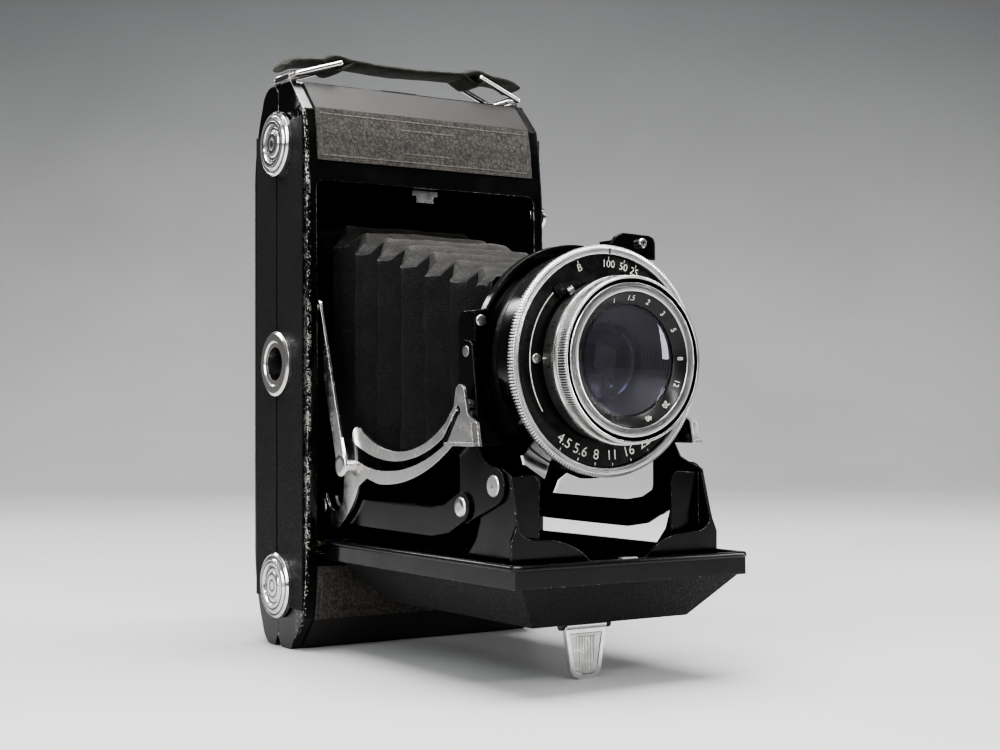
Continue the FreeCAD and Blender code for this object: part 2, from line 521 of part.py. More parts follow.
def bracket():
    """U-shaped plate on the bed: a low front wall and two ears for the legs."""
    body = new_body("bed_bracket")
    floor = -d.bed_low_z + 1.0
    half = [(30.6, floor), (30.6, -43.6), (29.1, -40.2), (29.0, -39.4), ("arc", (27.6, -42.2), (24.6, -43.4)),
            (20.4, -43.7), ("arc", (14.6, -44.9), (9.4, -47.9)), (6.6, -50.4), (4.6, -52.2)]
    wall = half + [(-4.6, -52.2), (-6.6, -50.4), (-9.4, -47.9), ("arc", (-14.6, -44.9), (-20.4, -43.7)),
                   (-24.6, -43.4), ("arc", (-27.6, -42.2), (-29.0, -39.4)), (-29.1, -40.2), (-30.6, -43.6),
                   (-30.6, floor)]
    pad(body, "XZ_Plane", "87.4", "0.8", [wall])
    for side in (1, -1):
        ear = [(-88.0, floor), (-62.0, floor), (-70.6, -44.0), (-74.8, -33.0), ("arc", (-77.0, -28.0), (-82.0, -27.2)),
               (-84.8, -28.3), ("arc", (-86.4, -34.0), (-88.0, -39.6))]
        start = "ear_x" if side > 0 else "-ear_x - ear_t"
        pad(body, "YZ_Plane", start, "ear_t", [ear], circles=[(-d.leg_y, -d.leg_z, "hip_pin_r + running")])
        inner, outer = side * (d.ear_x - 8.6), side * (d.ear_x + 0.2)
        flange = [(inner, -52.8), (outer, -52.8), (outer, -29.2), (inner + side * 2.6, -28.6),
                  ("arc", (inner + side * 0.7, -29.5), (inner, -31.6))]
        pad(body, "XZ_Plane", "83.0", "0.8", [flange])
    for side in (1, -1):
        x0, x1 = (22.0, 29.0) if side > 0 else (-29.0, -22.0)
        pad(body, "XY_Plane", floor, "0.7", [rectangle(x0, -88.0, x1, -62.0)])


def foot_parts():
    y, z = -d.foot_y, -d.foot_z
    base = box(-7.2, 7.2, y - 3, y + 6, -d.bed_pan_z - 0.5, -d.bed_pan_z)
    for x0, x1 in ((-7.4, -6.5), (6.5, 7.4)):
        lug = box(x0, x1, y - 1.1, y + 1.1, z, -d.bed_pan_z - 0.3)
        base = base.fuse(lug).fuse(rod_x(x0, x1, y, z, 1.1))
    base = base.fuse(rod_x(-7, 7, y, z, 0.6))
    group("foot_hinge", [base.removeSplitter()])
    tip = -d.half_height

    def tongue(top, wide, narrow, low, corner):
        """Outline of a tongue that narrows to a rounded tip."""
        right = [(wide, top), (narrow, low + corner), ("arc", (narrow - 0.3 * corner, low + 0.3 * corner),
                                                       (narrow - corner, low))]
        left = [(-(narrow - corner), low), ("arc", (-(narrow - 0.3 * corner), low + 0.3 * corner),
                                            (-narrow, low + corner)), (-wide, top)]
        return right + left

    body = new_body("foot_plate")
    pad(body, "XZ_Plane", "foot_y - 0.7", "foot_t", [tongue(z - 0.2, 6.2, 4.7, tip, 3.4)])
    pad(body, "XZ_Plane", "foot_y + 0.2", "1.2", [tongue(z - 2.0, 4.9, 3.6, tip + 1.2, 2.4)], cut=True)
    pad(body, "YZ_Plane", "-6", "12", [], circles=[(y, z, "1.2")])
    pad(body, "YZ_Plane", "-7", "14", [], cut=True, circles=[(y, z, "0.6 + running")])
    grip = new_body("foot_grip")
    pad(grip, "XZ_Plane", "foot_y + 0.2", "0.3", [tongue(z - 2.1, 4.8, 3.5, tip + 1.3, 2.3)])
    for index in range(-3, 4):
        x = 0.85 * index
        pad(grip, "XZ_Plane", "foot_y + 0.45", "0.3", [rectangle(x - 0.25, tip + 2.0, x + 0.25, z - 2.8)])


# ---------------------------------------------------------------- linkage

def strut(side):
    """Chrome brace: an open frame with a finger tab in front and a hook behind."""
    body = new_body("strut_right" if side > 0 else "strut_left", node=False)
    start = "strut_x" if side > 0 else "-strut_x - strut_t"
    upper_bar = [(-13.2, -20.4), ("arc", (-14.6, -18.1), (-18.2, -18.6)), ("arc", (-39.5, -23.8), (-62.0, -16.4)),
                 (-66.0, -12.4), (-66.8, -8.8), ("arc", (-68.8, -7.2), (-70.8, -9.0))]
    tab = [(-72.2, -14.4), (-76.4, -16.2), (-77.6, -21.9), (-65.4, -21.9)]
    lower_bar = [("arc", (-46.5, -30.3), (-28.0, -32.5)), (-21.5, -31.2), (-17.0, -33.4)]
    hook = [("arc", (-12.4, -39.6), (-5.5, -44.6)), ("arc", (-2.4, -45.3), (0.2, -42.0)), (3.2, -36.6),
            (2.0, -35.9), ("arc", (-3.4, -40.6), (-8.0, -37.6)), (-8.6, -31.2)]
    elbow = [("arc", (-7.9, -28.0), (-9.2, -25.0))]
    outer = upper_bar + tab + lower_bar + hook + elbow
    slot = [(-15.2, -22.2), ("arc", (-38.5, -26.3), (-60.8, -20.2)), (-66.7, -13.6), ("arc", (-68.4, -12.4), (-68.0, -14.6)),
            (-63.0, -21.0), ("arc", (-40.0, -28.4), (-22.0, -28.3)), (-15.2, -26.6)]
    pad(body, "YZ_Plane", start, "strut_t", [outer])
    pad(body, "YZ_Plane", start, "strut_t", [slot], cut=True)
    pad(body, "YZ_Plane", start, "strut_t", [], cut=True,
        circles=[(-d.elbow_y, -d.elbow_z, "elbow_pin_r + running")])
    # the finger tab is bent outwards along its lower and front edges
    lip = "strut_x + 0.1" if side > 0 else "-strut_x - 3.4"
    pad(body, "YZ_Plane", lip, "3.3", [rectangle(-77.4, -21.9, -65.6, -21.1)])
    fin = "strut_x + 0.1" if side > 0 else "-strut_x - 2.4"
    pad(body, "YZ_Plane", fin, "2.3", [[(-77.5, -21.9), (-76.6, -21.9), (-75.6, -16.6), (-76.4, -16.4)]])
    return body


def links():
    """The folding linkage: legs and arms carry the lens plate, rods and struts brace it."""
    hip = (-d.leg_y, -d.leg_z)
    wrist = (-d.wrist_y, d.wrist_z)
    brace = (-d.brace_y, -d.brace_z)
    root = (d.brace_foot_y, -d.brace_foot_z)
    top = (d.rod_y, d.rod_z)
    elbow = (-d.elbow_y, -d.elbow_z)
    leg = [(-64.4, -33.0), (-64.4, -8.0), (-64.9, 2.4), ("arc", (-67.5, 3.6), (-70.2, 2.2)), (-72.0, -10.0),
           (-72.8, -22.0), (-75.0, -25.2), (-78.6, -26.7), ("arc", (-84.0, -31.2), (-80.6, -35.6)), (-69.0, -40.0),
           ("arc", (-65.0, -40.4), (-62.8, -37.4))]
    pair("legs", lambda side: side_plate("leg", side, "leg_x", "leg_t", leg,
                                         [hip + ("hip_pin_r",), wrist + ("wrist_pin_r + running",)]))
    arm = bar([root, (-15.0, -40.6), (-35.0, -40.8), (-52.0, -40.9), (-59.6, -39.8), brace], 7.2)
    pair("arms", lambda side: side_plate("arm", side, "arm_x", "arm_t", arm, [root + ("root_pin_r",)]))
    pair("struts", strut)
    pair("rods", lambda side: side_plate("rod", side, "rod_x", "rod_t", bar([top, elbow], 4.6),
                                         [top + ("rod_pin_r",), elbow + ("elbow_pin_r",)]))
    fasteners = {"leg_rivets": [], "arm_rivets": [], "rod_rivets": [], "wrist_rivets": []}
    for side in (1, -1):
        def turned(x, spot, path):
            return solid_turned((side * x, spot[0], spot[1]), (side, 0, 0), path)
        fasteners["leg_rivets"] += [
            turned(28.2, hip, [(0, 0), (0, d.hip_pin_r), (1.8, d.hip_pin_r), (1.8, 2.65), (2.1, 2.4), (2.15, 0)]),
            turned(30.0, (-68.2, -12.2), [(0, 0), (0, 1.5), (1.4, 1.5), (1.6, 1.1), (1.6, 0)])]
        fasteners["arm_rivets"] += [
            turned(29.2, root, [(0, 0), (0, d.root_pin_r), (1.7, d.root_pin_r), (1.7, 2.4), (2.1, 2.1), (2.3, 1.0), (2.3, 0)]),
            turned(30.9, brace, [(0, 0), (0, 2.5), (0.4, 2.2), (0.6, 1.2), (0.6, 0)])]
        fasteners["rod_rivets"] += [
            turned(31.6, elbow, [(0, 0), (0, d.elbow_pin_r), (3.4, d.elbow_pin_r), (3.4, 3.1), (3.7, 2.9), (3.9, 2.0), (3.9, 0)]),
            turned(34.1, top, [(0, 0), (0, 1.8), (0.1, 1.8), (0.1, d.rod_pin_r), (3.5, d.rod_pin_r), (3.5, 0)])]
        fasteners["wrist_rivets"].append(
            turned(28.1, wrist, [(0, 0), (0, 1.4), (0.2, 1.4), (0.2, d.wrist_pin_r), (1.9, d.wrist_pin_r), (1.9, 1.4),
                                 (2.1, 1.3), (2.1, 0)]))
    for label, solids in fasteners.items():
        group(label, solids)


# ---------------------------------------------------------------- lens standard

def standard():
    z = -d.lens_z
    r = d.plate_r
    body = new_body("lens_plate")
    plate = [(-29.0, -22.0), (29.0, -22.0), (29.0, 10.7), (26.6, 10.9), ("arc", (0, z + r), (-26.6, 10.9)),
             (-29.0, 10.7)]
    pad(body, "XZ_Plane", "plate_y - plate_t", "plate_t", [plate], circles=[])
    pad(body, "XZ_Plane", "plate_y - plate_t - 1", "plate_t + 2", [], cut=True, circles=[(0, z, "15.0")])
    for side in (1, -1):
        start = 28.3 if side > 0 else -29.0
        flange = [(-70.0, -22.0), (-64.0, -22.0), (-62.6, -18.0), (-62.6, 8.7), (-64.6, 10.7), (-70.0, 10.7)]
        pad(body, "YZ_Plane", start, "0.7", [flange], circles=[(-d.wrist_y, d.wrist_z, "wrist_pin_r + 0.02")])
    lip = [(-26.6, 10.9), ("arc", (0, z + r), (26.6, 10.9)), (25.6, 10.2), ("arc", (0, z + r - 1.1), (-25.6, 10.2))]
    pad(body, "XZ_Plane", "plate_y", "1.2", [lip])
    case = [(-70.05, 14.9), (-70.05, d.case_r), (-76.4, d.case_r), (-76.4, 27.0), (-82.0, 27.0), (-82.0, 14.9)]
    turned_lens("shutter_case", case)
    face = [(-82.05, 14.95), (-82.05, 27.0), (-82.7, 27.0), (-82.7, 25.7), (-83.4, 25.7), (-83.6, 25.5),
            (-83.6, 14.95)]
    turned_lens("shutter_face", face)
    ring = [(-82.8, 25.8), (-82.8, 27.7), (-83.1, 28.2), (-84.0, 28.2), (-84.4, 27.9), (-84.4, 25.8)]
    turned_lens("speed_ring", ring)
    lever = [(-74.4, d.case_r + 0.08), (-74.4, 27.0), (-76.2, 27.0), (-76.2, d.case_r + 0.08)]
    body = turned_lens("aperture_ring", lever)
    turn_out = math.radians(d.lever_angle)
    tab = [(k * math.cos(turn_out) + r_out * math.sin(turn_out), z - k * math.sin(turn_out) + r_out * math.cos(turn_out))
           for k, r_out in ((-3.4, 26.6), (3.4, 26.6), (4.2, 29.4), (2.4, 31.0), (-4.2, 31.0))]
    pad(body, "XZ_Plane", "74.6", "1.2", [tab])
    barrel = [(-70.1, 8.6), (-70.1, 14.85), (-83.65, 14.85), (-83.65, 18.4), (-84.9, 18.4), (-84.9, 19.5),
              (-89.3, 19.5), (-89.3, 14.85), (-90.2, 14.85), (-90.2, 14.0), (-84.0, 13.2), (-84.0, 8.6)]
    turned_lens("lens_barrel", barrel)
    focus = [(-89.4, 14.95), (-89.4, 20.0), (-89.8, 20.4), (-90.9, 20.4), (-91.2, 20.1), (-94.5, 20.1), (-94.95, 19.7),
             (-94.95, 19.3), (-93.6, 19.0), (-93.6, 18.5), (-94.7, 18.4), (-94.7, 16.3), (-94.3, 16.1), (-92.8, 13.3),
             (-90.3, 13.3), (-90.3, 14.95)]
    turned_lens("focus_ring", focus)
    rim, apex = 13.25, -93.6
    curve = 65.0
    edge, middle = (apex + curve - math.sqrt(curve ** 2 - k ** 2) for k in (rim, rim / 2))
    glass = [(-90.5, 0), (-90.5, rim), (edge, rim)]
    glass += [("arc", (middle, rim / 2), (apex + 0.002, 0.5)), (apex + 0.002, 0)]
    turned_lens("front_glass", glass)
    inner = [solid_turned((0, 0, z), (0, -1, 0), [(y, 0), (y, 8.55), (y + t, 8.55), (y + t + 0.6, 4.6), (y + t + 0.8, 0)])
             for y, t in ((79.6, 2.6), (70.4, 1.6))]
    group("inner_glass", inner)
    leaves = []
    for index in range(5):
        blade = Part.Face(Part.makePolygon([Vector(*p) for p in (
            (3.0, -76.0, -0.6), (7.0, -76.0, -4.4), (7.7, -76.0, 2.6), (3.4, -76.0, 4.2), (3.0, -76.0, -0.6))]))
        solid = blade.extrude(Vector(0, 0.1, 0))
        solid.translate(Vector(0, 0.22 * index, 0))
        solid.rotate(Vector(0, 0, 0), Y_AXIS, 72 * index)
        solid.translate(Vector(0, 0, z))
        leaves.append(solid)
    group("iris_leaves", leaves)
    shutter_trim(z)


def ring_box(radius, depth, width, angle, y0, y1, z):
    """A box standing on the lens axis circle, turned to angle (0 = up, + = right)."""
    solid = box(-width / 2, width / 2, y0, y1, radius, radius + depth)
    solid.rotate(Vector(0, 0, 0), Y_AXIS, angle)
    solid.translate(Vector(0, 0, z))
    return solid


def shutter_trim(z):
    r = d.case_r
    lever = ring_box(27.1, 3.4, 3.2, 62, -79.0, -76.9, z).fuse(ring_box(26.0, 2.0, 3.2, 62, -79.0, -78.0, z))
    lever = lever.cut(Part.makeCylinder(27.08, 20, Vector(0, -90, z), Y_AXIS))
    group("release_lever", [max(lever.removeSplitter().Solids, key=lambda s: s.Volume)])
    socket = solid_turned((16.1, -76.42, 28.5), (0, -1, 0), [(0, 0.5), (0, 1.25), (1.2, 1.25), (1.5, 1.0), (1.5, 0.5)])
    group("cable_socket", [socket])
    angles = [math.radians(a) for a in (-89, 38, 152)]
    screws = [screw(20.5 * math.sin(a), -83.6, z + 20.5 * math.cos(a), 1.2, head=0.45, shank=0.0) for a in angles]
    slider = ring_box(20.2, 3.0, 2.4, -40, -84.3, -83.65, z).fuse(ring_box(19.9, 1.7, 1.7, -37, -86.8, -84.3, z))
    slider = slider.cut(Part.makeCylinder(19.7, 20, Vector(0, -90, z), Y_AXIS))
    group("mode_slider", [slider.removeSplitter()])
    outline = [Vector(x, -76.4, v) for x, v in ((6.4, 24.5), (6.4, 27.2), (8.4, 29.9), (10.6, 30.9), (19.0, 30.6),
                                               (20.3, 30.1), (20.9, 28.9), (20.9, 24.5), (6.4, 24.5))]
    tab = Part.Face(Part.makePolygon(outline)).extrude(Vector(0, 0.8, 0))
    tab = tab.cut(Part.makeCylinder(28.3, 30, Vector(0, -90, z), Y_AXIS))
    tab = tab.fuse(box(9.0, 19.0, -76.0, -68.9, 28.2, 29.2)).cut(Part.makeCylinder(28.3, 7.2, Vector(0, -77.2, z), Y_AXIS))
    group("finder_shoe", [max(tab.removeSplitter().Solids, key=lambda s: s.Volume)])
    screws += [screw(x, -70.0, 8.2, 1.4, head=0.6, shank=0.0) for x in (-27.4, 27.4)]
    group("shutter_screws", screws)


def bellows():
    """Folded leather cone, square in plan, from its seat in the body to the lens plate."""
    pleats = 8
    y_rear, y_front = 26.4, -67.85
    rings = []
    steps = pleats * 2
    for index in range(steps + 1):
        share = index / steps
        y = y_rear + (y_front - y_rear) * share
        ridge = index % 2 == 1
        half_x = 27.6 + (22.6 - 27.6) * share - (0.0 if ridge else 2.6)
        up = 41.5 + (18.0 - 41.5) * share - (0.0 if ridge else 2.6)
        down = -41.5 + (-19.6 + 41.5) * share + (0.0 if ridge else 2.6)
        rings.append((y, half_x, up, down))

    def skin(inset):
        wires = []
        for y, half_x, up, down in rings:
            x, a, b = half_x - inset, up - inset, down + inset
            wires.append(Part.makePolygon([Vector(-x, y, b), Vector(x, y, b), Vector(x, y, a), Vector(-x, y, a), Vector(-x, y, b)]))
        return Part.makeLoft(wires, True, True)
    group("bellows", [skin(0.0).cut(skin(0.7))])


body_shell()
back_cover()
back_hinge_pin()
coverings()
film_path()
knobs()
finder()
back_fittings()
strap_parts()
bed_parts()
bracket()
foot_parts()
links()
standard()
bellows()
doc.recompute()

for thing in NODES:
    shape = thing.Shape
    state = [word for word in thing.State if word in ("Invalid", "Error")]
    solids = len(shape.Solids)
    print("%-18s solids %d volume %.1f valid %s" % (thing.Label, solids, shape.Volume, shape.isValid()))
    assert not state and not shape.isNull() and shape.isValid() and solids > 0, thing.Label
    shape.exportStep("parts/%s.step" % thing.Label)
print(len(NODES), "sub-parts")
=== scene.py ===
"""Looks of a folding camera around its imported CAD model.

Every CAD node gets a material. The soft parts, toothed rings and engraved marks are added as meshes,
and then the studio and the viewpoint. Lengths are millimetres in the frame of the CAD model, with X across
the width, Y from the lens to the back and Z up. They become metres where a mesh or a node value is made.
"""
import math

import bpy
from mathutils import Matrix, Vector, noise


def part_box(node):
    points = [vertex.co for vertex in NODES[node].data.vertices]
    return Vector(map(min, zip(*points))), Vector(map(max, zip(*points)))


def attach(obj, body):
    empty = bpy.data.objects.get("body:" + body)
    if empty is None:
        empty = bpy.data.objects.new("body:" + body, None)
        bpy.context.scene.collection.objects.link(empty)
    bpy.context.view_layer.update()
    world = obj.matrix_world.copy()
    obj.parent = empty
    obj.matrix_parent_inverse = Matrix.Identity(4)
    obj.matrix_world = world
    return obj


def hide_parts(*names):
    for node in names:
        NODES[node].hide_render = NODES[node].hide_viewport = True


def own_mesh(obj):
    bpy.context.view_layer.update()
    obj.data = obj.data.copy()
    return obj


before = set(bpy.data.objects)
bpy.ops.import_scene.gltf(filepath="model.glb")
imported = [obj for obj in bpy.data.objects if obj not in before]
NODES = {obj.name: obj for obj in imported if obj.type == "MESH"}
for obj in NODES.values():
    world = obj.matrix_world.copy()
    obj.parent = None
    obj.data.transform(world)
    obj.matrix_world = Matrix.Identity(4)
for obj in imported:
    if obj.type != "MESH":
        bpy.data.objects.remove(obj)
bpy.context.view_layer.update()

MM = 0.001


def box_of(node):
    """Lowest and highest corner of a CAD node, in millimetres."""
    low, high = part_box(node)
    return low / MM, high / MM


FOCUS_LOW, FOCUS_HIGH = box_of("focus_ring")
LENS_AXIS = (FOCUS_LOW + FOCUS_HIGH) / 2
LENS_AXIS.y = 0
SHELL_LOW, SHELL_HIGH = box_of("body_shell")
SHELL_MIDDLE = (SHELL_LOW.z + SHELL_HIGH.z) / 2
BED_LOW, BED_HIGH = box_of("bed_plate")

# height of the open bed's rim
BED_RIM = SHELL_MIDDLE - 48.5

# distances from the middle of the body: the edges of the opening for the bellows, the edge of the end
# panels, the fold across them and the middle of their leather
OPENING_X, OPENING_Z = 36.1, 50.6
PANEL_X, PANEL_FOLD, PANEL_MIDDLE = 37.5, 70.5, 63.3

# the black cone round the front glass, as (radius, depth behind the focusing ring's front)
CONE_OUTER, CONE_INNER = (15.9, 0.62), (13.4, 2.05)

STEPS_PER_TOOTH = 4


# ---------------------------------------------------------------- node materials

class Look:
    """One node-based material, grown a step at a time. Each step gives an output socket for the next."""

    def __init__(self, name):
        self.material = bpy.data.materials.new(name)
        self.material.use_nodes = True
        self.tree = self.material.node_tree
        self.surface = self.tree.nodes["Principled BSDF"]
        self.place = self.node("ShaderNodeTexCoord").outputs["Object"]
        self.geometry = self.node("ShaderNodeNewGeometry")

    def node(self, kind, inputs=None, **settings):
        made = self.tree.nodes.new(kind)
        for key, value in settings.items():
            setattr(made, key, value)
        for key, value in (inputs or {}).items():
            self.feed(made.inputs[key], value)
        return made

    def feed(self, socket, value):
        if isinstance(value, bpy.types.NodeSocket):
            self.tree.links.new(value, socket)
        else:
            socket.default_value = value

    def set(self, **values):
        """Sets entries of the surface. An underscore in a name stands for a space."""
        for name, value in values.items():
            self.feed(self.surface.inputs[name.replace("_", " ")], value)
        return self

    def calc(self, operation, a, b=0.0, clamp=False):
        made = self.node("ShaderNodeMath", {0: a, 1: b}, operation=operation)
        made.use_clamp = clamp
        return made.outputs[0]

    def away(self, value, middle):
        """How far a value is from a middle, whichever way."""
        return self.calc("ABSOLUTE", self.calc("SUBTRACT", value, middle))

    def span(self, value, low, high, to_low=0.0, to_high=1.0):
        """Maps low..high smoothly to to_low..to_high, and holds the ends."""
        entries = {0: value, 1: low, 2: high, 3: to_low, 4: to_high}
        return self.node("ShaderNodeMapRange", entries, interpolation_type="SMOOTHSTEP").outputs[0]

    def mix(self, share, a, b):
        """A colour between a and b."""
        made = self.node("ShaderNodeMix", data_type="RGBA")
        self.feed(made.inputs[0], share)
        self.feed(made.inputs[6], a)
        self.feed(made.inputs[7], b)
        return made.outputs[2]

    def blend(self, share, a, b):
        """A number between a and b."""
        made = self.node("ShaderNodeMix", data_type="FLOAT")
        self.feed(made.inputs[0], share)
        self.feed(made.inputs[2], a)
        self.feed(made.inputs[3], b)
        return made.outputs[0]

    def stretched(self, factors):
        """The place in space, scaled by a factor along each axis."""
        entries = {0: self.place, 1: factors}
        return self.node("ShaderNodeVectorMath", entries, operation="MULTIPLY").outputs[0]

    def cloud(self, size, detail=3.0, rough=0.55, vector=None):
        """Soft noise with features of about size millimetres."""
        entries = {"Vector": vector or self.place, "Scale": 1 / (size * MM), "Detail": detail,
                   "Roughness": rough}
        return self.node("ShaderNodeTexNoise", entries).outputs["Fac"]

    def cells(self, size, feature="F1", vector=None):
        """Distance inside cells of about size millimetres."""
        entries = {"Vector": vector or self.place, "Scale": 1 / (size * MM)}
        return self.node("ShaderNodeTexVoronoi", entries, feature=feature).outputs["Distance"]

    def specks(self, size, edge, patch, spread):
        """1 on specks inside cells of about size millimetres, where soft patches let them show."""
        speck = self.span(self.cells(size), *edge)
        return self.calc("MULTIPLY", speck, self.span(self.cloud(patch), *spread))

    def axis(self, index):
        """One coordinate of the place, in metres."""
        return self.node("ShaderNodeSeparateXYZ", {0: self.place}).outputs[index]

    def facing(self, index):
        """One component of the surface's direction at the current pose."""
        return self.node("ShaderNodeSeparateXYZ", {0: self.geometry.outputs["Normal"]}).outputs[index]

    def edge(self, radius):
        """1 along sharp edges and 0 on open faces."""
        bevel = self.node("ShaderNodeBevel", {"Radius": radius * MM}, samples=4)
        dot = self.node("ShaderNodeVectorMath", {0: bevel.outputs[0], 1: self.geometry.outputs["Normal"]},
                        operation="DOT_PRODUCT")
        return self.span(dot.outputs["Value"], 0.985, 0.80)

    def relief(self, height, depth, soften=None):
        """Bump from a height of 0..1 that stands depth millimetres high."""
        entries = {"Height": height, "Distance": depth * MM}
        if soften is not None:
            entries["Normal"] = soften
        return self.node("ShaderNodeBump", entries).outputs[0]

    def rounded(self, radius):
        """The surface direction with the edges eased over radius millimetres."""
        return self.node("ShaderNodeBevel", {"Radius": radius * MM}, samples=4).outputs[0]

    def from_axis(self, centre):
        """Distance in metres from the line through centre along Y, and the angle round it."""
        moved = self.node("ShaderNodeVectorMath", {0: self.place, 1: centre * MM}, operation="SUBTRACT")
        part = self.node("ShaderNodeSeparateXYZ", {0: moved.outputs[0]})
        x, z = part.outputs[0], part.outputs[2]
        square = self.calc("ADD", self.calc("MULTIPLY", x, x), self.calc("MULTIPLY", z, z))
        return self.calc("SQRT", square), self.calc("ARCTAN2", x, z)


def grey(value, warm=0.0):
    """A grey, a little redder as warm rises."""
    return (value * (1 + warm), value, value * (1 - warm), 1)


BARE_METAL = (0.62, 0.60, 0.56, 1)
DUST = (0.115, 0.112, 0.106, 1)


def enamel(name, wear=0.35, dust=0.15, shell=False):
    """Glossy black enamel: faint orange peel, dust on top faces, and edges that are rubbed to bare metal.

    With shell on, the handled front edge is chipped and the inside of the opening is dull black.
    """
    look = Look(name)
    rub = look.cloud(1.1, 4, 0.65)
    chips = look.cloud(0.45, 2, 0.5)
    worn = look.calc("MULTIPLY", look.edge(0.35), look.span(rub, 0.62 - 0.3 * wear, 0.72 - 0.3 * wear))
    inside = 0.0
    if shell:
        # the long front edge of the left end is the most handled one
        near = look.span(look.axis(0), (SHELL_LOW.x + 1.3) * MM, (SHELL_LOW.x + 0.5) * MM)
        ahead = look.span(look.axis(1), (SHELL_LOW.y + 9) * MM, (SHELL_LOW.y + 2) * MM)
        band = look.calc("MULTIPLY", near, ahead)
        cluster = look.span(look.cloud(7, 3, 0.6), 0.42, 0.62, 0.0, 0.16)
        speckle = look.calc("ADD", chips, look.calc("MULTIPLY", rub, 0.8))
        patch = look.span(look.calc("ADD", speckle, cluster), 1.04, 1.08)
        worn = look.calc("MAXIMUM", worn, look.calc("MULTIPLY", band, patch))
        inside = inside_opening(look)
        worn = look.calc("MULTIPLY", worn, look.calc("SUBTRACT", 1.0, inside))
    up = look.span(look.facing(2), 0.35, 0.95)
    settled = look.calc("MULTIPLY", up, look.span(look.cloud(6, 5, 0.6), 0.3, 0.75))
    haze = look.calc("MULTIPLY", settled, dust)
    base = look.mix(haze, grey(0.0035, -0.04), DUST)
    smear = look.span(look.cloud(14, 4, 0.6), 0.3, 0.75, 0.09, 0.24)
    rough = look.blend(haze, smear, 0.7)
    peel = look.relief(look.cloud(1.4, 2, 0.5), 0.010, look.rounded(0.55))
    pitted = look.relief(look.calc("SUBTRACT", 1.0, worn), 0.03, peel)
    rough = look.blend(inside, rough, 0.85)
    look.set(Base_Color=look.mix(worn, look.mix(inside, base, grey(0.002)), BARE_METAL), Metallic=worn,
             Roughness=look.blend(worn, rough, 0.34), Normal=pitted)
    look.set(Specular_IOR_Level=look.blend(inside, 0.5, 0.05))
    return look.material


def inside_opening(look):
    """1 on faces behind the front plane and within the opening for the bellows."""
    across = look.span(look.calc("ABSOLUTE", look.axis(0)), (OPENING_X + 0.2) * MM, OPENING_X * MM)
    rise = look.span(off_middle(look), (OPENING_Z + 0.3) * MM, OPENING_Z * MM)
    along = look.span(look.axis(1), (SHELL_LOW.y + 1.2) * MM, (SHELL_LOW.y + 2.2) * MM)
    return look.calc("MULTIPLY", look.calc("MULTIPLY", across, rise), along)


def off_middle(look):
    """Distance above or below the middle of the body, in metres."""
    return look.away(look.axis(2), SHELL_MIDDLE * MM)


def dull_black():
    """Matt black lacquer that keeps stray light away from the film."""
    look = Look("dull_black")
    grain = look.cloud(0.6, 3, 0.6)
    look.set(Base_Color=look.mix(look.span(look.cloud(6, 4), 0.3, 0.7), grey(0.002), grey(0.005)),
             Roughness=look.span(grain, 0.3, 0.7, 0.7, 0.9), Specular_IOR_Level=0.1,
             Normal=look.relief(grain, 0.02, look.rounded(0.2)))
    return look.material


def leather(name, panels=False):
    """Embossed leather: wrinkled pebbles with fine pores, tops painted lighter as a highlight, dusty on top.

    With panels on, the two end panels get a coarser grain whose grey-brown is partly faded colour and
    partly painted sheen, a raised frame line, and the upper one a blank plaque.
    """
    grain, base, lift, dull = 0.75, 0.006, 0.05, 0.46
    look = Look(name)
    entries = {"Vector": look.place, "Scale": 1 / (2.6 * grain * MM), "Detail": 2.0}
    wander = look.node("ShaderNodeTexNoise", entries)
    drift = look.node("ShaderNodeVectorMath", {0: wander.outputs["Color"], 1: (grain * 1.3 * MM,) * 3},
                      operation="MULTIPLY").outputs[0]
    bent = look.node("ShaderNodeVectorMath", {0: look.place, 1: drift}, operation="ADD").outputs[0]
    pebble = look.span(look.cells(grain, "DISTANCE_TO_EDGE", bent), 0.0, 0.32)
    swell = look.cloud(grain * 2.2, 2, 0.5, bent)
    pores = look.cloud(grain * 0.28, 2, 0.6)
    height = look.calc("ADD", look.calc("MULTIPLY", pebble, look.span(swell, 0.25, 0.7, 0.45, 1.0)),
                       look.calc("MULTIPLY", pores, 0.25))
    up = look.span(look.facing(2), 0.2, 0.9)
    dust = look.calc("MULTIPLY", up, look.span(look.cloud(7, 4, 0.6), 0.3, 0.7, 0.1, 0.45))
    tint = look.mix(look.span(look.cloud(9, 3, 0.5), 0.3, 0.7), grey(base, 0.02), grey(base * 1.5, 0.05))
    # the pebble tops are painted lighter: a painted highlight
    ridge = look.mix(look.calc("MULTIPLY", pebble, 0.35), tint, grey(base * 2.4, 0.05))
    colour = look.mix(dust, ridge, DUST)
    rough = look.span(height, 0.2, 1.1, dull + 0.16, dull - 0.08)
    if panels:
        height, colour, rough = end_panels(look, bent, height, colour, rough)
    look.set(Base_Color=colour, Roughness=rough, Normal=look.relief(height, lift, look.rounded(0.25)))
    look.set(Specular_IOR_Level=0.3)
    return look.material


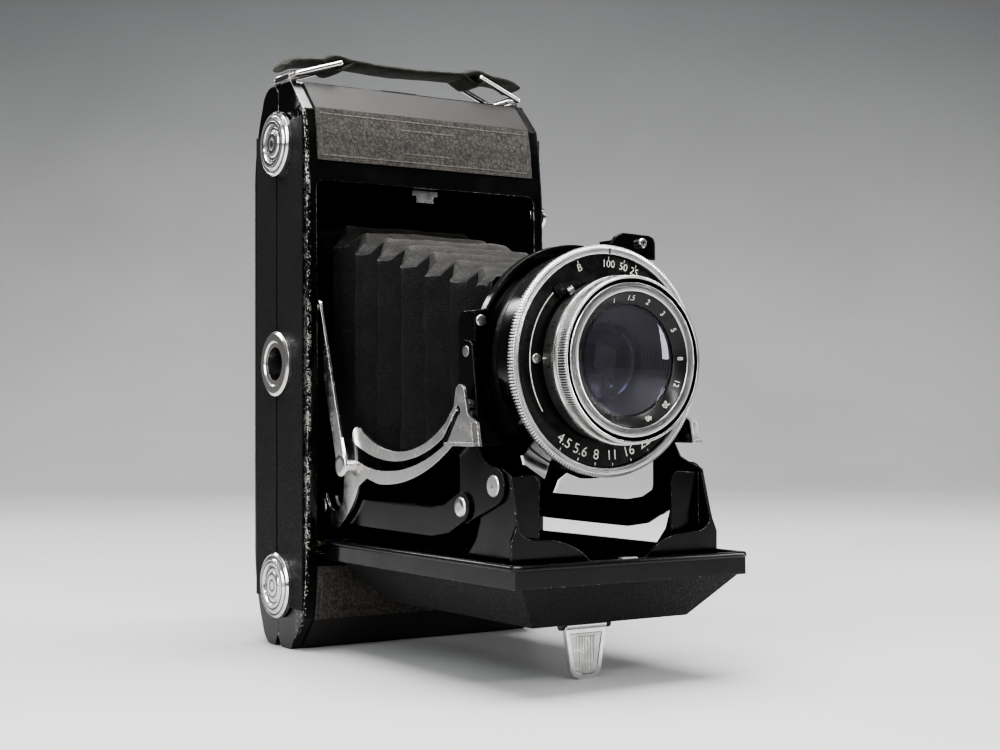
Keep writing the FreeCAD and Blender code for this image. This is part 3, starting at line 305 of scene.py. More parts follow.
def end_panels(look, bent, height, colour, rough):
    """Turns the sides' leather into the end panels' leather where the place lies on a panel."""
    across = look.calc("ABSOLUTE", look.axis(0))
    rise = off_middle(look)
    on_panel = look.span(across, (PANEL_X + 1.0) * MM, PANEL_X * MM)
    flat = look.span(rise, (PANEL_FOLD + 0.4) * MM, PANEL_FOLD * MM)
    fold = look.span(look.cells(1.5, "DISTANCE_TO_EDGE", bent), 0.0, 0.16)
    crease = look.cloud(1.1, 4, 0.65, bent)
    grainy = look.calc("ADD", look.calc("MULTIPLY", fold, 0.5), look.calc("MULTIPLY", crease, 0.8))
    line = frame_line(look, across, look.away(rise, PANEL_MIDDLE * MM), 34.0, 5.9, 0.3)
    plaque = frame_line(look, across, look.away(rise, (PANEL_MIDDLE - 0.1) * MM), 8.6, 3.4, 0.35)
    upper = look.span(look.axis(2), (SHELL_MIDDLE - 10) * MM, (SHELL_MIDDLE + 10) * MM)
    raised = look.calc("MAXIMUM", line, look.calc("MULTIPLY", plaque, upper))
    grainy = look.calc("ADD", grainy, look.calc("MULTIPLY", raised, 1.2))
    smooth = look.calc("MULTIPLY", look.cloud(0.7, 3, 0.6), 0.5)
    panel_height = look.blend(flat, smooth, grainy)
    film = look.span(look.cloud(11, 4, 0.6), 0.25, 0.75, 0.75, 1.0)
    # The panels' pale grey-brown is partly their faded colour and partly painted sheen from the top light;
    # the grain tops and the raised lines are painted lighter still as highlights.
    tops = look.calc("MULTIPLY", look.span(fold, 0.0, 1.0, 0.45, 1.0),
                     look.span(crease, 0.34, 0.6, 0.35, 1.0))
    pale = look.mix(look.calc("MULTIPLY", film, tops), grey(0.016, 0.05), grey(0.082, 0.11))
    pale = look.mix(look.calc("MULTIPLY", raised, 0.22), pale, grey(0.13, 0.10))
    strip = look.mix(film, grey(0.012, 0.08), grey(0.026, 0.08))
    panel_colour = look.mix(flat, strip, pale)
    height = look.blend(on_panel, height, look.calc("MULTIPLY", panel_height, 2.0))
    return height, look.mix(on_panel, colour, panel_colour), look.blend(on_panel, rough, 0.5)


def frame_line(look, across, along, half_x, half_z, width):
    """1 on a line round a rectangle that is centred at across = along = 0."""
    gap_x = look.calc("SUBTRACT", across, half_x * MM)
    gap_z = look.calc("SUBTRACT", along, half_z * MM)
    away = look.calc("ABSOLUTE", look.calc("MAXIMUM", gap_x, gap_z))
    return look.span(away, width * MM, width * 0.3 * MM)


def plated(name, tone=0.80, rough=0.10, warm=0.01, spots=0.5, grain=0.0):
    """Polished plating: slight smears, small dark pits and an optional brushed grain."""
    look = Look(name)
    smear = look.cloud(3.2, 4, 0.6)
    pit = look.calc("MULTIPLY", look.specks(0.9, (0.16, 0.05), 2.4, (0.52, 0.6)), spots)
    tint = look.mix(look.span(smear, 0.3, 0.75), grey(tone, warm), grey(tone * 0.86, warm + 0.015))
    normal = look.relief(look.calc("SUBTRACT", 1.0, pit), 0.02, look.rounded(0.16))
    if grain:
        streak = look.cloud(0.22, 2, 0.5, look.stretched((1.0, 1.0, 0.08)))
        normal = look.relief(streak, 0.006 * grain, normal)
    look.set(Base_Color=look.mix(pit, tint, grey(0.09, 0.1)), Metallic=1.0, Normal=normal,
             Roughness=look.calc("ADD", look.span(smear, 0.3, 0.75, rough, rough + 0.14),
                                 look.calc("MULTIPLY", pit, 0.4)))
    return look.material


def turned_metal(name, tone, rough, depth=0.005):
    """Metal faced on a lathe: very fine rings round the lens axis, with slight smears."""
    look = Look(name)
    radius, angle = look.from_axis(LENS_AXIS)
    entries = {0: radius, 1: look.calc("MULTIPLY", angle, 0.0004), 2: look.axis(1)}
    coordinate = look.node("ShaderNodeCombineXYZ", entries).outputs[0]
    rings = look.cloud(0.16, 3, 0.6, coordinate)
    smear = look.cloud(2.6, 4, 0.6)
    tint = look.mix(look.span(smear, 0.3, 0.75), grey(tone, 0.005), grey(tone * 0.88, 0.02))
    spot = look.specks(0.7, (0.14, 0.05), 1.7, (0.55, 0.62))
    look.set(Base_Color=look.mix(spot, tint, grey(0.12, 0.1)), Metallic=1.0,
             Roughness=look.span(rings, 0.3, 0.7, rough, rough + 0.12),
             Normal=look.relief(rings, depth, look.rounded(0.12)))
    return look.material


def disc_metal(name, centres, grooves):
    """Plated discs on the left end: fine turning rings and a few grooves round each centre (y, z), painted
    dark as shade.
    """
    tone = 0.78
    look = Look(name)
    nearest = 1.0
    for y, z in centres:
        gap_y = look.calc("SUBTRACT", look.axis(1), y * MM)
        gap_z = look.calc("SUBTRACT", look.axis(2), z * MM)
        square = look.calc("ADD", look.calc("MULTIPLY", gap_y, gap_y),
                           look.calc("MULTIPLY", gap_z, gap_z))
        nearest = look.calc("MINIMUM", nearest, look.calc("SQRT", square))
    cut = 0.0
    for radius in grooves:
        cut = look.calc("MAXIMUM", cut, look.span(look.away(nearest, radius * MM), 0.42 * MM, 0.1 * MM))
    fine = look.calc("SINE", look.calc("MULTIPLY", nearest, 2 * math.pi / (0.34 * MM)))
    smear = look.cloud(2.4, 4, 0.6)
    height = look.calc("SUBTRACT", look.calc("MULTIPLY", fine, 0.04), cut)
    tint = look.mix(look.span(smear, 0.3, 0.75), grey(tone, 0.01), grey(tone * 0.82, 0.02))
    # the grooves are painted dark grey: painted shade
    look.set(Base_Color=look.mix(look.calc("MULTIPLY", cut, 0.8), tint, grey(0.06, 0.1)), Metallic=1.0,
             Roughness=look.blend(cut, look.span(smear, 0.3, 0.7, 0.1, 0.22), 0.5),
             Normal=look.relief(height, 0.16, look.rounded(0.16)))
    return look.material


def box_centre(node):
    """The (y, z) middle of a CAD node."""
    low, high = box_of(node)
    return (low.y + high.y) / 2, (low.z + high.z) / 2


def brass():
    """Tarnished brass."""
    look = Look("brass")
    tarnish = look.span(look.cloud(1.6, 5, 0.65), 0.35, 0.7)
    look.set(Base_Color=look.mix(tarnish, (0.62, 0.46, 0.22, 1), (0.24, 0.17, 0.09, 1)), Metallic=1.0,
             Roughness=look.blend(tarnish, 0.22, 0.5), Normal=look.rounded(0.15))
    return look.material


def glass(name, tint, reflect, haze, haze_tint=(0.2, 0.19, 0.24, 1)):
    """Coated glass with a violet reflection, a light film of dust and a few specks."""
    look = Look(name)
    film = look.span(look.cloud(3.5, 6, 0.7), 0.3, 0.8, haze * 0.5, haze)
    speck = look.specks(1.1, (0.07, 0.04), 4, (0.5, 0.6))
    dirt = look.calc("MAXIMUM", film, look.calc("MULTIPLY", speck, min(1.0, haze * 4)))
    look.set(Base_Color=look.mix(dirt, tint, haze_tint), Roughness=look.span(dirt, 0.0, 0.5, 0.01, 0.3))
    look.set(Transmission_Weight=look.calc("SUBTRACT", 1.0, dirt), IOR=1.5,
             Specular_IOR_Level=0.9, Specular_Tint=reflect)
    return look.material


def black_plastic():
    """Moulded black plastic with a slight sheen."""
    look = Look("black_plastic")
    grain = look.cloud(0.5, 3, 0.6)
    look.set(Base_Color=look.mix(look.span(look.cloud(5), 0.3, 0.7), grey(0.009), grey(0.016, 0.05)),
             Roughness=look.span(grain, 0.3, 0.7, 0.32, 0.5),
             Normal=look.relief(grain, 0.01, look.rounded(0.2)))
    return look.material


def face_paint():
    """Satin black lacquer of the shutter face: slight sheen, fine scratches and dust."""
    look = Look("face_lacquer")
    scratch = look.span(look.cloud(0.3, 3, 0.7, look.stretched((1.0, 1.0, 0.12))), 0.66, 0.72, 0.0, 0.4)
    fleck = look.specks(0.8, (0.1, 0.05), 3, (0.5, 0.6))
    mark = look.calc("MAXIMUM", look.calc("MULTIPLY", scratch, 0.3), look.calc("MULTIPLY", fleck, 0.5))
    look.set(Base_Color=look.mix(mark, grey(0.007, 0.02), grey(0.15)),
             Roughness=look.span(look.cloud(5, 4), 0.3, 0.7, 0.2, 0.36), Normal=look.rounded(0.15))
    return look.material


def part_plated(name, shiny):
    """Black lacquer with a plated part. shiny(look) gives 1 where the plating is."""
    look = Look(name)
    share = shiny(look)
    smear = look.cloud(3.2, 4, 0.6)
    lacquered = look.span(smear, 0.3, 0.7, 0.2, 0.36)
    polished = look.span(smear, 0.3, 0.7, 0.08, 0.2)
    look.set(Base_Color=look.mix(share, grey(0.006), grey(0.78, 0.01)), Metallic=share,
             Roughness=look.blend(share, lacquered, polished),
             Normal=look.relief(smear, 0.01, look.rounded(0.15)))
    return look.material


def outside_radius(radius):
    """A mask for part_plated: the plating starts at this radius from the lens axis."""
    def shiny(look):
        return look.span(look.from_axis(LENS_AXIS)[0], (radius - 0.1) * MM, radius * MM)
    return shiny


def in_front_of(y):
    """A mask for part_plated: the plating lies in front of this y."""
    def shiny(look):
        return look.span(look.axis(1), (y + 0.05) * MM, y * MM)
    return shiny


def mark_paint():
    """Aged white paint in the engraved marks."""
    look = Look("mark_paint")
    age = look.span(look.cloud(0.8, 4, 0.6), 0.35, 0.7)
    look.set(Base_Color=look.mix(age, (0.80, 0.78, 0.70, 1), (0.50, 0.48, 0.42, 1)), Roughness=0.5)
    return look.material


def red_window():
    """Clouded red glass of the film-counter window."""
    look = Look("red_window")
    cloudy = look.span(look.cloud(2.5, 4), 0.3, 0.7, 0.0, 0.35)
    look.set(Base_Color=look.mix(cloudy, (0.42, 0.012, 0.008, 1), (0.2, 0.02, 0.02, 1)),
             Roughness=0.12, Transmission_Weight=0.5,
             Normal=look.relief(look.cloud(1.5), 0.01, look.rounded(0.2)))
    return look.material


def bellows_leather():
    """Thin black bellows skin: fine grain and soft creases, grey with dust on its upper faces and folds, with
    painted shade in the fold valleys.
    """
    look = Look("bellows_leather")
    grain = look.cells(0.55, "SMOOTH_F1")
    crease = look.cloud(1.6, 4, 0.65, look.stretched((1.0, 2.4, 1.0)))
    height = look.calc("ADD", look.calc("MULTIPLY", grain, 0.45), crease)
    up = look.span(look.facing(2), 0.12, 0.75)
    patch = look.span(look.cloud(4.5, 5, 0.65), 0.25, 0.75, 0.45, 1.0)
    fine = look.span(look.cloud(0.45, 3, 0.7), 0.3, 0.7, 0.25, 1.0)
    dust = look.calc("MULTIPLY", look.calc("MULTIPLY", up, patch), fine)
    ridge = look.span(look.geometry.outputs["Pointiness"], 0.515, 0.57)
    rubbed = look.calc("MULTIPLY", ridge, look.span(look.cloud(0.7, 4, 0.7), 0.42, 0.6, 0.05, 1.0))
    # less dust in the fold valleys leaves them darker: painted shade
    valley = look.span(look.geometry.outputs["Pointiness"], 0.5, 0.44)
    dust = look.calc("MULTIPLY", dust, look.calc("SUBTRACT", 0.75, look.calc("MULTIPLY", valley, 0.5)))
    dust = look.calc("ADD", dust, look.calc("MULTIPLY", rubbed, look.blend(up, 0.25, 1.0)), clamp=True)
    base = look.mix(look.span(look.cloud(12), 0.3, 0.7), grey(0.003), grey(0.006, -0.02))
    look.set(Base_Color=look.mix(dust, base, (0.070, 0.067, 0.062, 1)), Specular_IOR_Level=0.22,
             Roughness=look.blend(dust, look.span(crease, 0.3, 0.7, 0.46, 0.62), 0.85),
             Normal=look.relief(height, 0.2))
    return look.material


def strap_leather():
    """Old strap leather: olive black, rubbed fuzzy and pale along its edges."""
    look = Look("strap_leather")
    grain = look.cells(0.7, "DISTANCE_TO_EDGE")
    fuzz = look.cloud(0.5, 4, 0.7)
    height = look.calc("ADD", look.span(grain, 0.0, 0.3), look.calc("MULTIPLY", fuzz, 0.9))
    worn = look.span(look.cloud(3.4, 5, 0.7), 0.38, 0.72)
    rub = look.calc("MULTIPLY", look.edge(0.9), look.span(fuzz, 0.4, 0.65, 0.2, 0.8))
    share = look.calc("MAXIMUM", look.calc("MULTIPLY", worn, 0.55), rub)
    look.set(Base_Color=look.mix(share, (0.016, 0.017, 0.013, 1), (0.075, 0.078, 0.058, 1)),
             Roughness=look.span(height, 0.2, 1.4, 0.9, 0.62), Specular_IOR_Level=0.25,
             Sheen_Weight=0.15, Normal=look.relief(height, 0.14))
    return look.material


SHELL_ENAMEL = enamel("shell_enamel", wear=0.5, dust=0.25, shell=True)
BED_ENAMEL = enamel("bed_enamel", wear=0.22, dust=0.12)
LINK_ENAMEL = enamel("link_enamel", wear=0.12, dust=0.08)
SIDE_LEATHER = leather("side_leather")
BODY_LEATHER = leather("body_leather", panels=True)
CHROME = plated("chrome", 0.82, 0.07)
BRIGHT_CHROME = plated("bright_chrome", 0.88, 0.16, spots=0.3)
WORN_CHROME = plated("worn_chrome", 0.74, 0.13, 0.02, spots=0.9)
DISC_METAL = disc_metal("disc_metal", [box_centre("spool_knob_upper"), box_centre("spool_knob_lower")],
                        (1.5, 3.3, 5.0, 6.6, 8.1))
NICKEL = plated("satin_nickel", 0.70, 0.24, 0.01, spots=0.6)
STEEL = plated("steel", 0.45, 0.28, 0.01, spots=0.7, grain=1.0)
RING_METAL = turned_metal("ring_metal", 0.80, 0.22)
FRONT_METAL = turned_metal("front_metal", 0.80, 0.16)
BRASS = brass()
PLASTIC = black_plastic()
MATT = dull_black()
LACQUER = face_paint()
PAINT = mark_paint()
RED = red_window()
BELLOWS = bellows_leather()
STRAP = strap_leather()
LENS_GLASS = glass("lens_glass", (0.54, 0.53, 0.58, 1), (0.74, 0.70, 0.90, 1), haze=0.07,
                   haze_tint=(0.19, 0.175, 0.18, 1))
INNER_GLASS = glass("inner_glass", (0.55, 0.55, 0.66, 1), (0.50, 0.52, 0.95, 1), haze=0.03)
COLLAR_METAL = turned_metal("collar_metal", 0.20, 0.36, depth=0.003)
BAFFLE_METAL = turned_metal("baffle_metal", 0.13, 0.3)
# matt black painted as shade into the tooth gaps and the focusing ring's groove
GAP_SHADE = dull_black()
GAP_SHADE.name = "gap_shade"
LEVER_METAL = part_plated("lever_metal", outside_radius(27.2))
SLIDER_METAL = part_plated("slider_metal", in_front_of(box_of("shutter_face")[0].y - 0.75))

DRESSED = [
    (SHELL_ENAMEL, "body_shell back_cover finder_base"),
    (STEEL, "back_hinge_pin film_roller_upper film_roller_lower pressure_spring wrist_rivets "
            "iris_leaves"),
    (BODY_LEATHER, "body_leather"),
    (SIDE_LEATHER, "back_leather bed_leather"),
    (MATT, "film_gate"),
    (LINK_ENAMEL, "pressure_plate window_frame window_cover foot_hinge legs arms lens_plate "
                  "shutter_case finder_shoe"),
    (PLASTIC, "supply_spool take_up_spool"),
    (DISC_METAL, "spool_knob_upper spool_knob_lower"),
    (WORN_CHROME, "winding_key tripod_socket finder_front finder_rear back_latch strap_lugs ring_left "
                  "ring_right release_lever cable_socket"),
    (CHROME, "door_button foot_plate"),
    (RED, "window_glass"),
    (BED_ENAMEL, "bed_plate bed_bracket"),
    (BRASS, "bed_pivots"),
    (NICKEL, "door_catch foot_grip leg_rivets arm_rivets rod_rivets shutter_screws"),
    (BRIGHT_CHROME, "struts rods"),
    (LACQUER, "shutter_face"),
    (LEVER_METAL, "aperture_ring"),
    (COLLAR_METAL, "lens_barrel"),
    (LENS_GLASS, "front_glass"),
    (INNER_GLASS, "inner_glass"),
    (SLIDER_METAL, "mode_slider"),
]


def dress(node, material):
    """Gives a CAD node its material."""
    data = NODES[node].data
    data.materials.clear()
    data.materials.append(material)


# ---------------------------------------------------------------- mesh helpers

def new_piece(name, points, faces, material, body, smooth=True):
    """A mesh object from points in millimetres, riding on a CAD body."""
    data = bpy.data.meshes.new(name)
    data.from_pydata([Vector(p) * MM for p in points], [], faces)
    data.update()
    data.materials.append(material)
    if smooth:
        data.shade_smooth()
    piece = bpy.data.objects.new(name, data)
    bpy.context.scene.collection.objects.link(piece)
    if body:
        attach(piece, body)
    return piece


def grid_faces(rows, columns, close_rows=False, close_columns=True):
    """Quads over a grid of points kept row by row."""
    faces = []
    for i in range(rows if close_rows else rows - 1):
        for j in range(columns if close_columns else columns - 1):
            a, b = i * columns, ((i + 1) % rows) * columns
            k = (j + 1) % columns
            faces.append((a + j, a + k, b + k, b + j))
    return faces


def edge_split(piece, degrees):
    """Keeps edges sharper than this angle crisp."""
    modifier = piece.modifiers.new("crisp", "EDGE_SPLIT")
    modifier.split_angle = math.radians(degrees)


def lathe(name, profile, segments, material, body, bite=None, dark=()):
    """Turns a closed (radius, y) profile about the lens axis, with optional teeth.

    bite is (low radius, high radius, depth): points from the low radius up to the high one are cut in by
    depth over half of each tooth's steps. dark holds the profile steps, from a point to the next, that
    are painted matt black as shade, as the tooth gaps are.
    """
    points, low = [], set()
    for radius, y in profile:
        toothed = bite and bite[0] <= radius < bite[1]
        for step in range(segments):
            angle = 2 * math.pi * step / segments
            r = radius
            if toothed and step % STEPS_PER_TOOTH < STEPS_PER_TOOTH / 2:
                r = radius - bite[2]
                low.add(len(points))
            points.append((LENS_AXIS.x + r * math.sin(angle), y, LENS_AXIS.z + r * math.cos(angle)))
    faces = grid_faces(len(profile), segments, close_rows=True)
    piece = new_piece(name, points, faces, material, body)
    piece.data.materials.append(GAP_SHADE)
    # faces in the tooth gaps and in the dark steps get the matt black: painted shade
    for face in piece.data.polygons:
        in_gap = all(corner in low for corner in face.vertices)
        if in_gap or face.index // segments in dark:
            face.material_index = 1
    edge_split(piece, 32)
    return piece


# ---------------------------------------------------------------- lens rings

def speed_ring():
    """The thin ring round the shutter with its saw-tooth edge."""
    low, high = box_of("speed_ring")
    outer = (high.x - low.x) / 2
    inner = 25.85
    front, back = low.y, high.y
    teeth = 226
    profile = [(inner, front + 0.3), (inner + 0.15, front + 0.05), (inner + 0.3, front),
               (outer - 0.72, front), (outer - 0.5, front + 0.06), (outer, front + 0.35),
               (outer, back - 0.1), (outer - 0.5, back), (outer - 0.72, back), (inner, back)]
    bite = (outer - 0.51, outer + 1, 0.5)
    piece = lathe("speed_ring_knurled", profile, teeth * STEPS_PER_TOOTH, RING_METAL, "speed_ring", bite)
    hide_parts("speed_ring")


def focus_ring():
    """The focusing ring: shoulder, straight knurl, bright rim, groove painted dark as shade, inner rim and
    black cone.
    """
    front = FOCUS_LOW.y
    outer = (FOCUS_HIGH.x - FOCUS_LOW.x) / 2
    grip = outer - 0.3
    profile = [(15.0, 5.55), (outer - 0.4, 5.55), (outer - 0.1, 5.35), (outer, 5.1), (outer, 4.1),
               (outer - 0.1, 3.9), (grip - 0.35, 3.8), (grip, 3.6), (grip, 0.5), (grip - 0.3, 0.4),
               (grip - 0.28, 0.12), (grip - 0.4, 0.02), (grip - 0.55, 0.0), (grip - 0.75, 0.08),
               (grip - 0.85, 0.3), (19.0, 1.35), (18.5, 1.35), (18.44, 0.42), (18.3, 0.27), (18.1, 0.24),
               (16.5, 0.24), (16.3, 0.3), (16.12, 0.6), (16.0, 3.0), (15.0, 4.65)]
    profile = [(radius, front + depth) for radius, depth in profile]
    teeth = 200
    bite = (grip - 0.01, grip + 0.01, 0.3)
    # the groove's steps are painted matt black as shade
    groove = [index for index, (radius, _) in enumerate(profile) if 18.6 < radius < 19.3]
    piece = lathe("focus_ring_knurled", profile, teeth * STEPS_PER_TOOTH, FRONT_METAL, "focus", bite, groove)
    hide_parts("focus_ring")
    cone = [(16.08, 0.5), CONE_OUTER, CONE_INNER, (13.3, 2.2), (13.3, 4.65), (14.9, 4.65), (15.9, 3.0)]
    inner = lathe("name_cone", [(radius, front + depth) for radius, depth in cone], 192, LACQUER, "focus")


def baffle_rings():
    """Fine turned ridges in the bore between the front glass and the inner glass."""
    start, end = box_of("front_glass")[1].y + 0.6, box_of("lens_barrel")[0].y + 5.6
    wide, narrow = 13.1, 8.7
    ridges = 19
    profile = []
    for index in range(ridges):
        share = index / (ridges - 1)
        radius = wide + (narrow - wide) * share
        y = start + (end - start) * share
        profile += [(radius, y), (radius - 0.02, y + 0.22)]
    profile += [(narrow - 0.1, end + 0.3), (wide + 0.05, end + 0.3)]
    piece = lathe("baffle_rings", profile, 160, BAFFLE_METAL, "standard")


# ---------------------------------------------------------------- engraved marks

def glyphs(text, size):
    """Mesh of a short text, centred, as (points, faces) in millimetres on the XY plane."""
    curve = bpy.data.curves.new("glyph", "FONT")
    curve.body = text
    curve.size = size
    curve.align_x, curve.align_y = "CENTER", "CENTER"
    curve.extrude = 0.03
    curve.resolution_u = 3
    holder = bpy.data.objects.new("glyph", curve)
    bpy.context.scene.collection.objects.link(holder)
    bpy.context.view_layer.update()
    data = bpy.data.meshes.new_from_object(holder.evaluated_get(bpy.context.evaluated_depsgraph_get()))
    points = [v.co.copy() for v in data.vertices]
    faces = [tuple(p.vertices) for p in data.polygons]
    bpy.data.objects.remove(holder)
    bpy.data.curves.remove(curve)
    bpy.data.meshes.remove(data)
    return points, faces


def bar_mark(width, length):
    """A short engraved line, centred, as (points, faces)."""
    w, h, t = width / 2, length / 2, 0.03
    points = [Vector((x, y, z)) for z in (-t, t) for x, y in ((-w, -h), (w, -h), (w, h), (-w, h))]
    faces = [(3, 2, 1, 0), (4, 5, 6, 7), (0, 1, 5, 4), (1, 2, 6, 5), (2, 3, 7, 6), (3, 0, 4, 7)]
    return points, faces


class Marks:
    """Collects flat marks into one mesh."""

    def __init__(self):
        self.points, self.faces = [], []

    def add(self, shape, matrix):
        points, faces = shape
        start = len(self.points)
        self.points += [matrix @ p for p in points]
        self.faces += [tuple(start + i for i in face) for face in faces]

    def on_face(self, shape, radius, degrees, y, inward=False):
        """Puts a shape on the front at an angle clockwise from the top, with its top outward or inward."""
        angle = math.radians(degrees)
        out = Vector((math.sin(angle), 0, math.cos(angle)))
        across = Vector((math.cos(angle), 0, -math.sin(angle)))
        if inward:
            up, right = -out, -across
        else:
            up, right = out, across
        place = LENS_AXIS + out * radius
        place.y = y
        self.add(shape, columns(right, up, Vector((0, -1, 0)), place))

    def on_rim(self, shape, radius, degrees, y):
        """Puts a shape on a rim round the lens axis, facing outward, with its top to the front."""
        angle = math.radians(degrees)
        out = Vector((math.sin(angle), 0, math.cos(angle)))
        across = Vector((math.cos(angle), 0, -math.sin(angle)))
        place = LENS_AXIS + out * radius
        place.y = y
        self.add(shape, columns(-across, Vector((0, -1, 0)), out, place))

    def finish(self, name, material, body):
        """Makes the collected marks into one piece."""
        piece = new_piece(name, self.points, self.faces, material, body, smooth=False)


def columns(x, y, z, place):
    """A matrix from three axes and a place."""
    rows = [(x[i], y[i], z[i], place[i]) for i in range(3)]
    return Matrix(rows + [(0, 0, 0, 1)])


def face_marks():
    """Shutter speeds, their ticks, a long arc line and a lens opening scale on the shutter face."""
    y = box_of("shutter_face")[0].y - 0.02
    tick, tick_radius = bar_mark(0.22, 0.7), 25.1
    marks = Marks()
    for text, degrees in (("B", -19.3), ("100", 2), ("50", 13), ("25", 21.4)):
        marks.on_face(glyphs(text, 2.6), 23.6, degrees, y)
        marks.on_face(tick, tick_radius, degrees, y)
    for text, degrees in (("4.5", 213), ("5.6", 200), ("8", 188), ("11", 176), ("16", 163), ("22", 150)):
        marks.on_face(glyphs(text, 3.5), 22.9, degrees, y, inward=True)
        marks.on_face(tick, tick_radius, degrees, y)
    arc_radius, steps, start, end = 22.3, 60, 237, 316
    dash = bar_mark(arc_radius * math.radians((end - start + 1) / steps), 0.3)
    for step in range(steps):
        marks.on_face(dash, arc_radius, start + (end - start) * (step + 0.5) / steps, y)
    marks.finish("face_marks", PAINT, "standard")
    index = Marks()
    index.on_face(bar_mark(0.35, 1.5), 26.8, 1.5, box_of("speed_ring")[0].y - 0.02)
    index.finish("ring_index", LACQUER, "speed_ring")


def distance_scale():
    """Ticks and numbers of the distance scale on the collar behind the focusing ring."""
    collar = 19.5 + 0.01
    y = FOCUS_HIGH.y + 2.4
    marks = Marks()
    for index, text in enumerate(("5", "6", "7", "9", "12", "20", "40", "80")):
        degrees = 235 + 15 * index
        marks.on_rim(glyphs(text, 2.0), collar, degrees, y)
        marks.on_rim(bar_mark(0.16, 0.9), collar, degrees + 6, y - 1.6)
    marks.finish("distance_marks", LACQUER, "standard")
    index = Marks()
    index.on_rim(bar_mark(0.25, 1.5), collar, 271, y + 1.4)
    index.finish("distance_index", PAINT, "standard")


def cone_marks():
    """A plain distance scale on the black cone round the front glass."""
    marks = Marks()
    slope = math.atan2(CONE_INNER[1] - CONE_OUTER[1], CONE_OUTER[0] - CONE_INNER[0])
    scale = {"1": -20, "1.5": 0, "2": 20, "3": 40, "5": 60, "8": 88, "12": 112, "20": 136, "40": 160}
    for text, degrees in scale.items():
        angle = math.radians(degrees)
        out = Vector((math.sin(angle), 0, math.cos(angle)))
        across = Vector((math.cos(angle), 0, -math.sin(angle)))
        facing = (Vector((0, -1, 0)) * math.cos(slope) - out * math.sin(slope)).normalized()
        up = facing.cross(across)
        place = LENS_AXIS + out * 14.7
        place.y = FOCUS_LOW.y + 1.28
        marks.add(glyphs(text, 1.9), columns(across, up, facing, place))
    marks.finish("cone_marks", PAINT, "focus")


# ---------------------------------------------------------------- bellows

PLEATS = 8


def bellows():
    """The pleated skin: side folds stand out where the top and bottom folds dip, with cut corners."""
    low, high = box_of("bellows")
    back, front = high.y, low.y
    top_back, top_front = high.z + 2.4, 98.5
    bottom_back, bottom_front = low.z, 59.9
    half_back, half_front = high.x, 22.6
    per_pleat = 12
    rows = PLEATS * per_pleat + 1
    side_steps, top_steps, corner_steps = 22, 18, 4
    points = []
    for row in range(rows):
        along = row / (rows - 1)
        y = back + (front - back) * along
        wave = pleat_wave(along * PLEATS)
        ease = min(1.0, along * 9, (1 - along) * 9)
        depth = (6.0 - 1.8 * along) * ease
        half = half_back + (half_front - half_back) * along
        top = top_back + (top_front - top_back) * along
        bottom = bottom_back + (bottom_front - bottom_back) * along
        points += bellows_ring(half, top, bottom, y, wave, depth, (side_steps, top_steps, corner_steps))
    faces = grid_faces(rows, len(points) // rows)
    piece = new_piece("bellows_skin", points, faces, BELLOWS, None)
    piece.data.set_sharp_from_angle(angle=math.radians(30))
    thick = piece.modifiers.new("thickness", "SOLIDIFY")
    thick.thickness = 0.5 * MM
    thick.offset = -1
    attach(piece, "camera_body")
    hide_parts("bellows")
    return piece


def pleat_wave(phase):
    """A fold profile from 0 (valley) to 1 (ridge): nearly straight flanks, slightly rounded at the ends."""
    flank = 1 - abs(2 * (phase % 1.0) - 1)
    return flank - 0.055 * math.sin(2 * math.pi * flank)


def bellows_ring(half, top, bottom, y, wave, depth, steps):
    """One closed ring of points: up the left side, over the top, down the right side and back below."""
    side_steps, top_steps, corner_steps = steps
    side = half - depth * (1 - wave)
    roof = top - depth * 0.85 * wave
    floor = bottom + depth * 0.85 * wave
    cut = 1.1 + 1.3 * (1 - abs(2 * wave - 1))
    corner = [(-side, floor + cut), (-side, roof - cut), (-side + cut, roof), (side - cut, roof),
              (side, roof - cut), (side, floor + cut), (side - cut, floor), (-side + cut, floor)]
    corner = [Vector((x, y, z)) for x, z in corner]
    counts = [side_steps, corner_steps, top_steps, corner_steps] * 2
    ring = []
    for index, count in enumerate(counts):
        following = corner[(index + 1) % len(corner)]
        ring += [corner[index].lerp(following, step / count) for step in range(count)]
    crumpled = []
    for p in ring:
        shift = noise.noise_vector(p * 0.09) * 0.55 + noise.noise_vector(p * 0.38) * 0.28
        crumpled.append(p + Vector((shift.x, shift.y * 0.6, shift.z)))
    return crumpled


# ---------------------------------------------------------------- bed lip

def bed_lip():
    """The rolled lip round the bed's open edge, and the small plated keeper in its middle."""
    radius, out, corner, corner_steps = 0.75, 0.15, 1.6, 6
    side, front = BED_HIGH.x + out, BED_LOW.y - out
    rear = BED_HIGH.y - 6.6
    level = BED_RIM - radius
    half = [Vector((side, rear, level)), Vector((side, front + corner, level))]
    for step in range(1, corner_steps):
        turn = math.radians(90 * step / corner_steps)
        x = side - corner + corner * math.cos(turn)
        y = front + corner - corner * math.sin(turn)
        half.append(Vector((x, y, level)))
    half.append(Vector((side - corner, front, level)))
    mirrored = [Vector((-p.x, p.y, p.z)) for p in reversed(half)]
    rod("bed_lip", half + mirrored, radius, BED_ENAMEL, "bed")
    depth, height = (front + 0.5, front + 2.6), (BED_RIM - 0.5, BED_RIM + 0.35)
    keeper = block("bed_keeper", (-3.6, 0.9), depth, height, NICKEL, "bed")


def block(name, x, y, z, material, body):
    """A small block with eased edges between two limits along each axis."""
    points = [(a, b, c) for c in z for b in y for a in x]
    faces = [(0, 2, 3, 1), (4, 5, 7, 6), (0, 1, 5, 4), (1, 3, 7, 5), (3, 2, 6, 7), (2, 0, 4, 6)]
    piece = new_piece(name, points, faces, material, body, smooth=False)
    ease = piece.modifiers.new("eased", "BEVEL")
    ease.width = 0.2 * MM
    ease.segments = 2
    return piece


